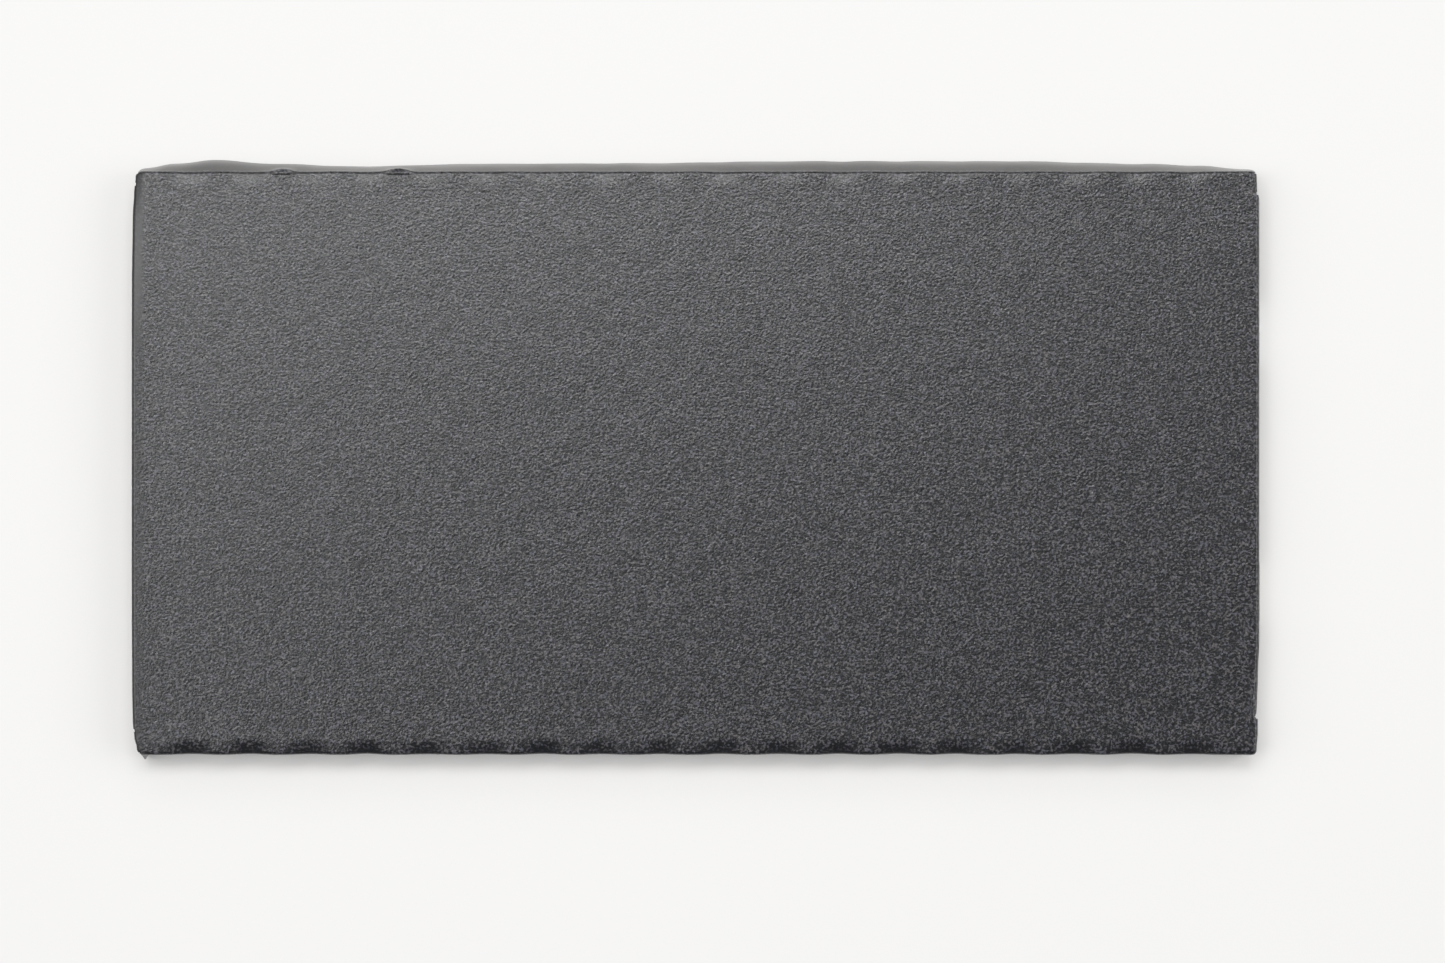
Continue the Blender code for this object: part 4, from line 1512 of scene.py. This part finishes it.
@dataclass
class TerraceTape:
    """Black tape along the outside of the terrace, which follows the flap's shape."""

    finishes: Finishes
    pouch: Pouch
    pressed_thickness: float = 0.048 * MM
    low_z: float = 0.98 * MM
    high_z: float = 3.45 * MM
    margin: float = 0.1 * MM
    corner: float = 0.3 * MM
    corner_steps: int = 4
    columns: int = 180
    rows: int = 10

    def mesh(self) -> bpy.types.Mesh:
        """Builds the tape as one closed strip.

        Returns:
            Its mesh.
        """
        pouch = self.pouch
        low_y, high_y = pouch.terrace[0] + self.margin, pouch.terrace[1] - self.margin
        outline = RoundedOutline((high_y - low_y) / 2, (self.high_z - self.low_z) / 2, self.corner)
        middle_y, middle_z = (low_y + high_y) / 2, (self.low_z + self.high_z) / 2
        corner = [1 + step / self.corner_steps for step in range(1, self.corner_steps + 1)]
        lists = []
        for count in (self.columns, self.rows):
            straight = [2 * step / count - 1 for step in range(count + 1)]
            lists.append([-place for place in reversed(corner)] + straight + corner)
        across, up = lists
        points: list[Vector] = []
        for layer in (1.0, 0.0):
            for u in across:
                for v in up:
                    at = outline.point(u, v)
                    y, z = at.x + middle_y, at.y + middle_z
                    ideal = Vector((pouch.half_length, y, z))
                    shift = pouch.fold_shift(ideal).x
                    x = pouch.half_length + pouch.fit + shift + layer * self.pressed_thickness
                    points.append(Vector((x + Wander.TAPE.above(y, z), y, z)))
        tall = len(up)
        size = len(across) * tall
        faces = []
        for i in range(len(across) - 1):
            for j in range(tall - 1):
                a, b = i * tall + j, (i + 1) * tall + j
                faces.append((a, b, b + 1, a + 1))
                faces.append((size + a, size + a + 1, size + b + 1, size + b))
        wide = len(across)
        loop = (
            [i * tall for i in range(wide)] + [(wide - 1) * tall + j for j in range(1, tall)]
            + [i * tall + tall - 1 for i in range(wide - 2, -1, -1)]
            + list(range(tall - 2, 0, -1))
        )
        for here, after in zip(loop, loop[1:] + loop[:1]):
            faces.append((here, size + here, size + after, after))
        mesh = bpy.data.meshes.new("terrace_tape_strip")
        mesh.from_pydata(points, [], faces)
        mesh.materials.append(self.finishes.get("black_tape"))
        shade(mesh)
        return mesh

    def build(self) -> None:
        """Builds the tape."""
        finished_object("terrace_tape_strip", self.mesh(), "black_tape", "terrace_tape")


@dataclass
class Terminals:
    """The tabs, their sealing films and the tape on their welds."""

    finishes: Finishes
    poles: tuple[tuple[str, str], ...] = (("positive", "aluminium_tab"), ("negative", "nickel_tab"))

    def build(self) -> None:
        """Dresses each pole's pieces."""
        for pole, metal in self.poles:
            self.finishes.dress(f"tab_{pole}", metal)
            self.finishes.dress(f"weld_tape_{pole}", "weld_tape")
            for layer in ("outer", "inner"):
                self.finishes.dress(f"seal_film_{pole}_{layer}", "seal_film")


@dataclass
class ElectrodeStack:
    """The electrode sheets, the separator between them and the tapes round them."""

    finishes: Finishes
    anodes: int = 10
    cathodes: int = 9
    tapes: tuple[str, ...] = ("front_left", "front_right", "back_left", "back_right", "end")

    def build(self) -> None:
        """Dresses every sheet and tape."""
        for kind, count in (("anode", self.anodes), ("cathode", self.cathodes)):
            for index in range(1, count + 1):
                self.finishes.dress(f"{kind}_sheet_{index:02d}", kind)
        self.finishes.dress("separator", "separator")
        for place in self.tapes:
            self.finishes.dress(f"stack_tape_{place}", "stack_tape")


# Studio


@dataclass(frozen=True)
class Softbox:
    """A soft rectangular light aimed at the cell."""

    name: str
    azimuth: float
    tilt: float
    distance: float
    size: tuple[float, float]
    power: float

    def build(self) -> None:
        """Hangs the light."""
        lamp = bpy.data.lights.new(self.name, "AREA")
        lamp.shape = "RECTANGLE"
        lamp.size, lamp.size_y = self.size
        lamp.energy = self.power
        turn, tilt = math.radians(self.azimuth), math.radians(self.tilt)
        toward = Vector((math.cos(turn) * math.sin(tilt), math.sin(turn) * math.sin(tilt),
                         math.cos(tilt)))
        holder = place_object(self.name, lamp)
        holder.location = toward * self.distance
        holder.rotation_euler = toward.to_track_quat("Z", "Y").to_euler()


@dataclass
class Studio:
    """A white sweep, soft lights and a camera straight above the cell."""

    finishes: Finishes
    floor_half: float = 0.9
    floor_drop: float = 0.02 * MM
    room_light: float = 0.27
    room_colour: Colour = (0.93, 0.98, 1.08)
    white_level: float = 2.0
    tones: Table = ((0.10, 0.20), (0.25, 0.47), (0.45, 0.76), (0.62, 0.905), (0.76, 0.98))
    lens: float = 130.0
    sensor: float = 36.0
    camera_place: Colour = (2.3 * MM, -1.6 * MM, 446.5 * MM)
    lights: tuple[Softbox, ...] = (
        Softbox("key", 100.0, 20.0, 0.45, (0.27, 0.12), 1.15),
        Softbox("left_low", 180.0, 24.0, 0.90, (0.35, 0.35), 2.0),
        Softbox("left_fill", 175.0, 50.0, 1.00, (0.80, 0.60), 2.5),
        Softbox("right_fill", 5.0, 50.0, 1.00, (0.80, 0.60), 5.4),
        Softbox("back_fill", 90.0, 48.0, 1.00, (0.90, 0.40), 2.2),
    )

    def floor(self) -> None:
        """Lays the white sweep just below the cell."""
        half, z = self.floor_half, -self.floor_drop
        mesh = bpy.data.meshes.new("floor")
        corners = [(-half, -half, z), (half, -half, z), (half, half, z), (-half, half, z)]
        mesh.from_pydata(corners, [], [(0, 1, 2, 3)])
        mesh.materials.append(self.finishes.get("floor"))
        plane = place_object("floor", mesh)

    def room(self) -> None:
        """Sets the dim light of the room."""
        world = bpy.data.worlds.new("room")
        world.use_nodes = True
        background = world.node_tree.nodes["Background"]
        background.inputs["Color"].default_value = (*self.room_colour, 1.0)
        background.inputs["Strength"].default_value = self.room_light
        bpy.context.scene.world = world

    def camera(self) -> None:
        """Sets the camera straight above the cell, the back edge at the top of its view."""
        lens = bpy.data.cameras.new("camera")
        lens.lens, lens.sensor_width = self.lens, self.sensor
        lens.clip_start, lens.clip_end = 0.01, 10.0
        holder = place_object("camera", lens)
        holder.location = self.camera_place
        bpy.context.scene.camera = holder

    def tone(self) -> None:
        """Keeps dark tones as they are and eases the whites, as a camera does."""
        view = bpy.context.scene.view_settings
        view.view_transform = "Standard"
        view.use_curve_mapping = True
        mapping = view.curve_mapping
        mapping.white_level = (self.white_level,) * 3
        points = mapping.curves[3].points
        points[0].location = (0.0, 0.0)
        points[1].location = (1.0, 1.0)
        for place in self.tones:
            points.new(*place)
        mapping.update()

    def build(self) -> None:
        """Sets up the floor, the lights and the camera."""
        self.floor()
        self.room()
        for light in self.lights:
            light.build()
        self.camera()
        self.tone()
        LOG.info("studio ready")


def main() -> None:
    """Builds every sub-assembly in order."""
    logging.basicConfig(level=logging.INFO, format="%(name)s: %(message)s")
    finishes = Finishes()
    pouch = Pouch(finishes)
    pouch.build()
    SideGlue(finishes, pouch).build()
    TerraceTape(finishes, pouch).build()
    Terminals(finishes).build()
    ElectrodeStack(finishes).build()
    Studio(finishes).build()


if __name__ == "__main__":
    main()
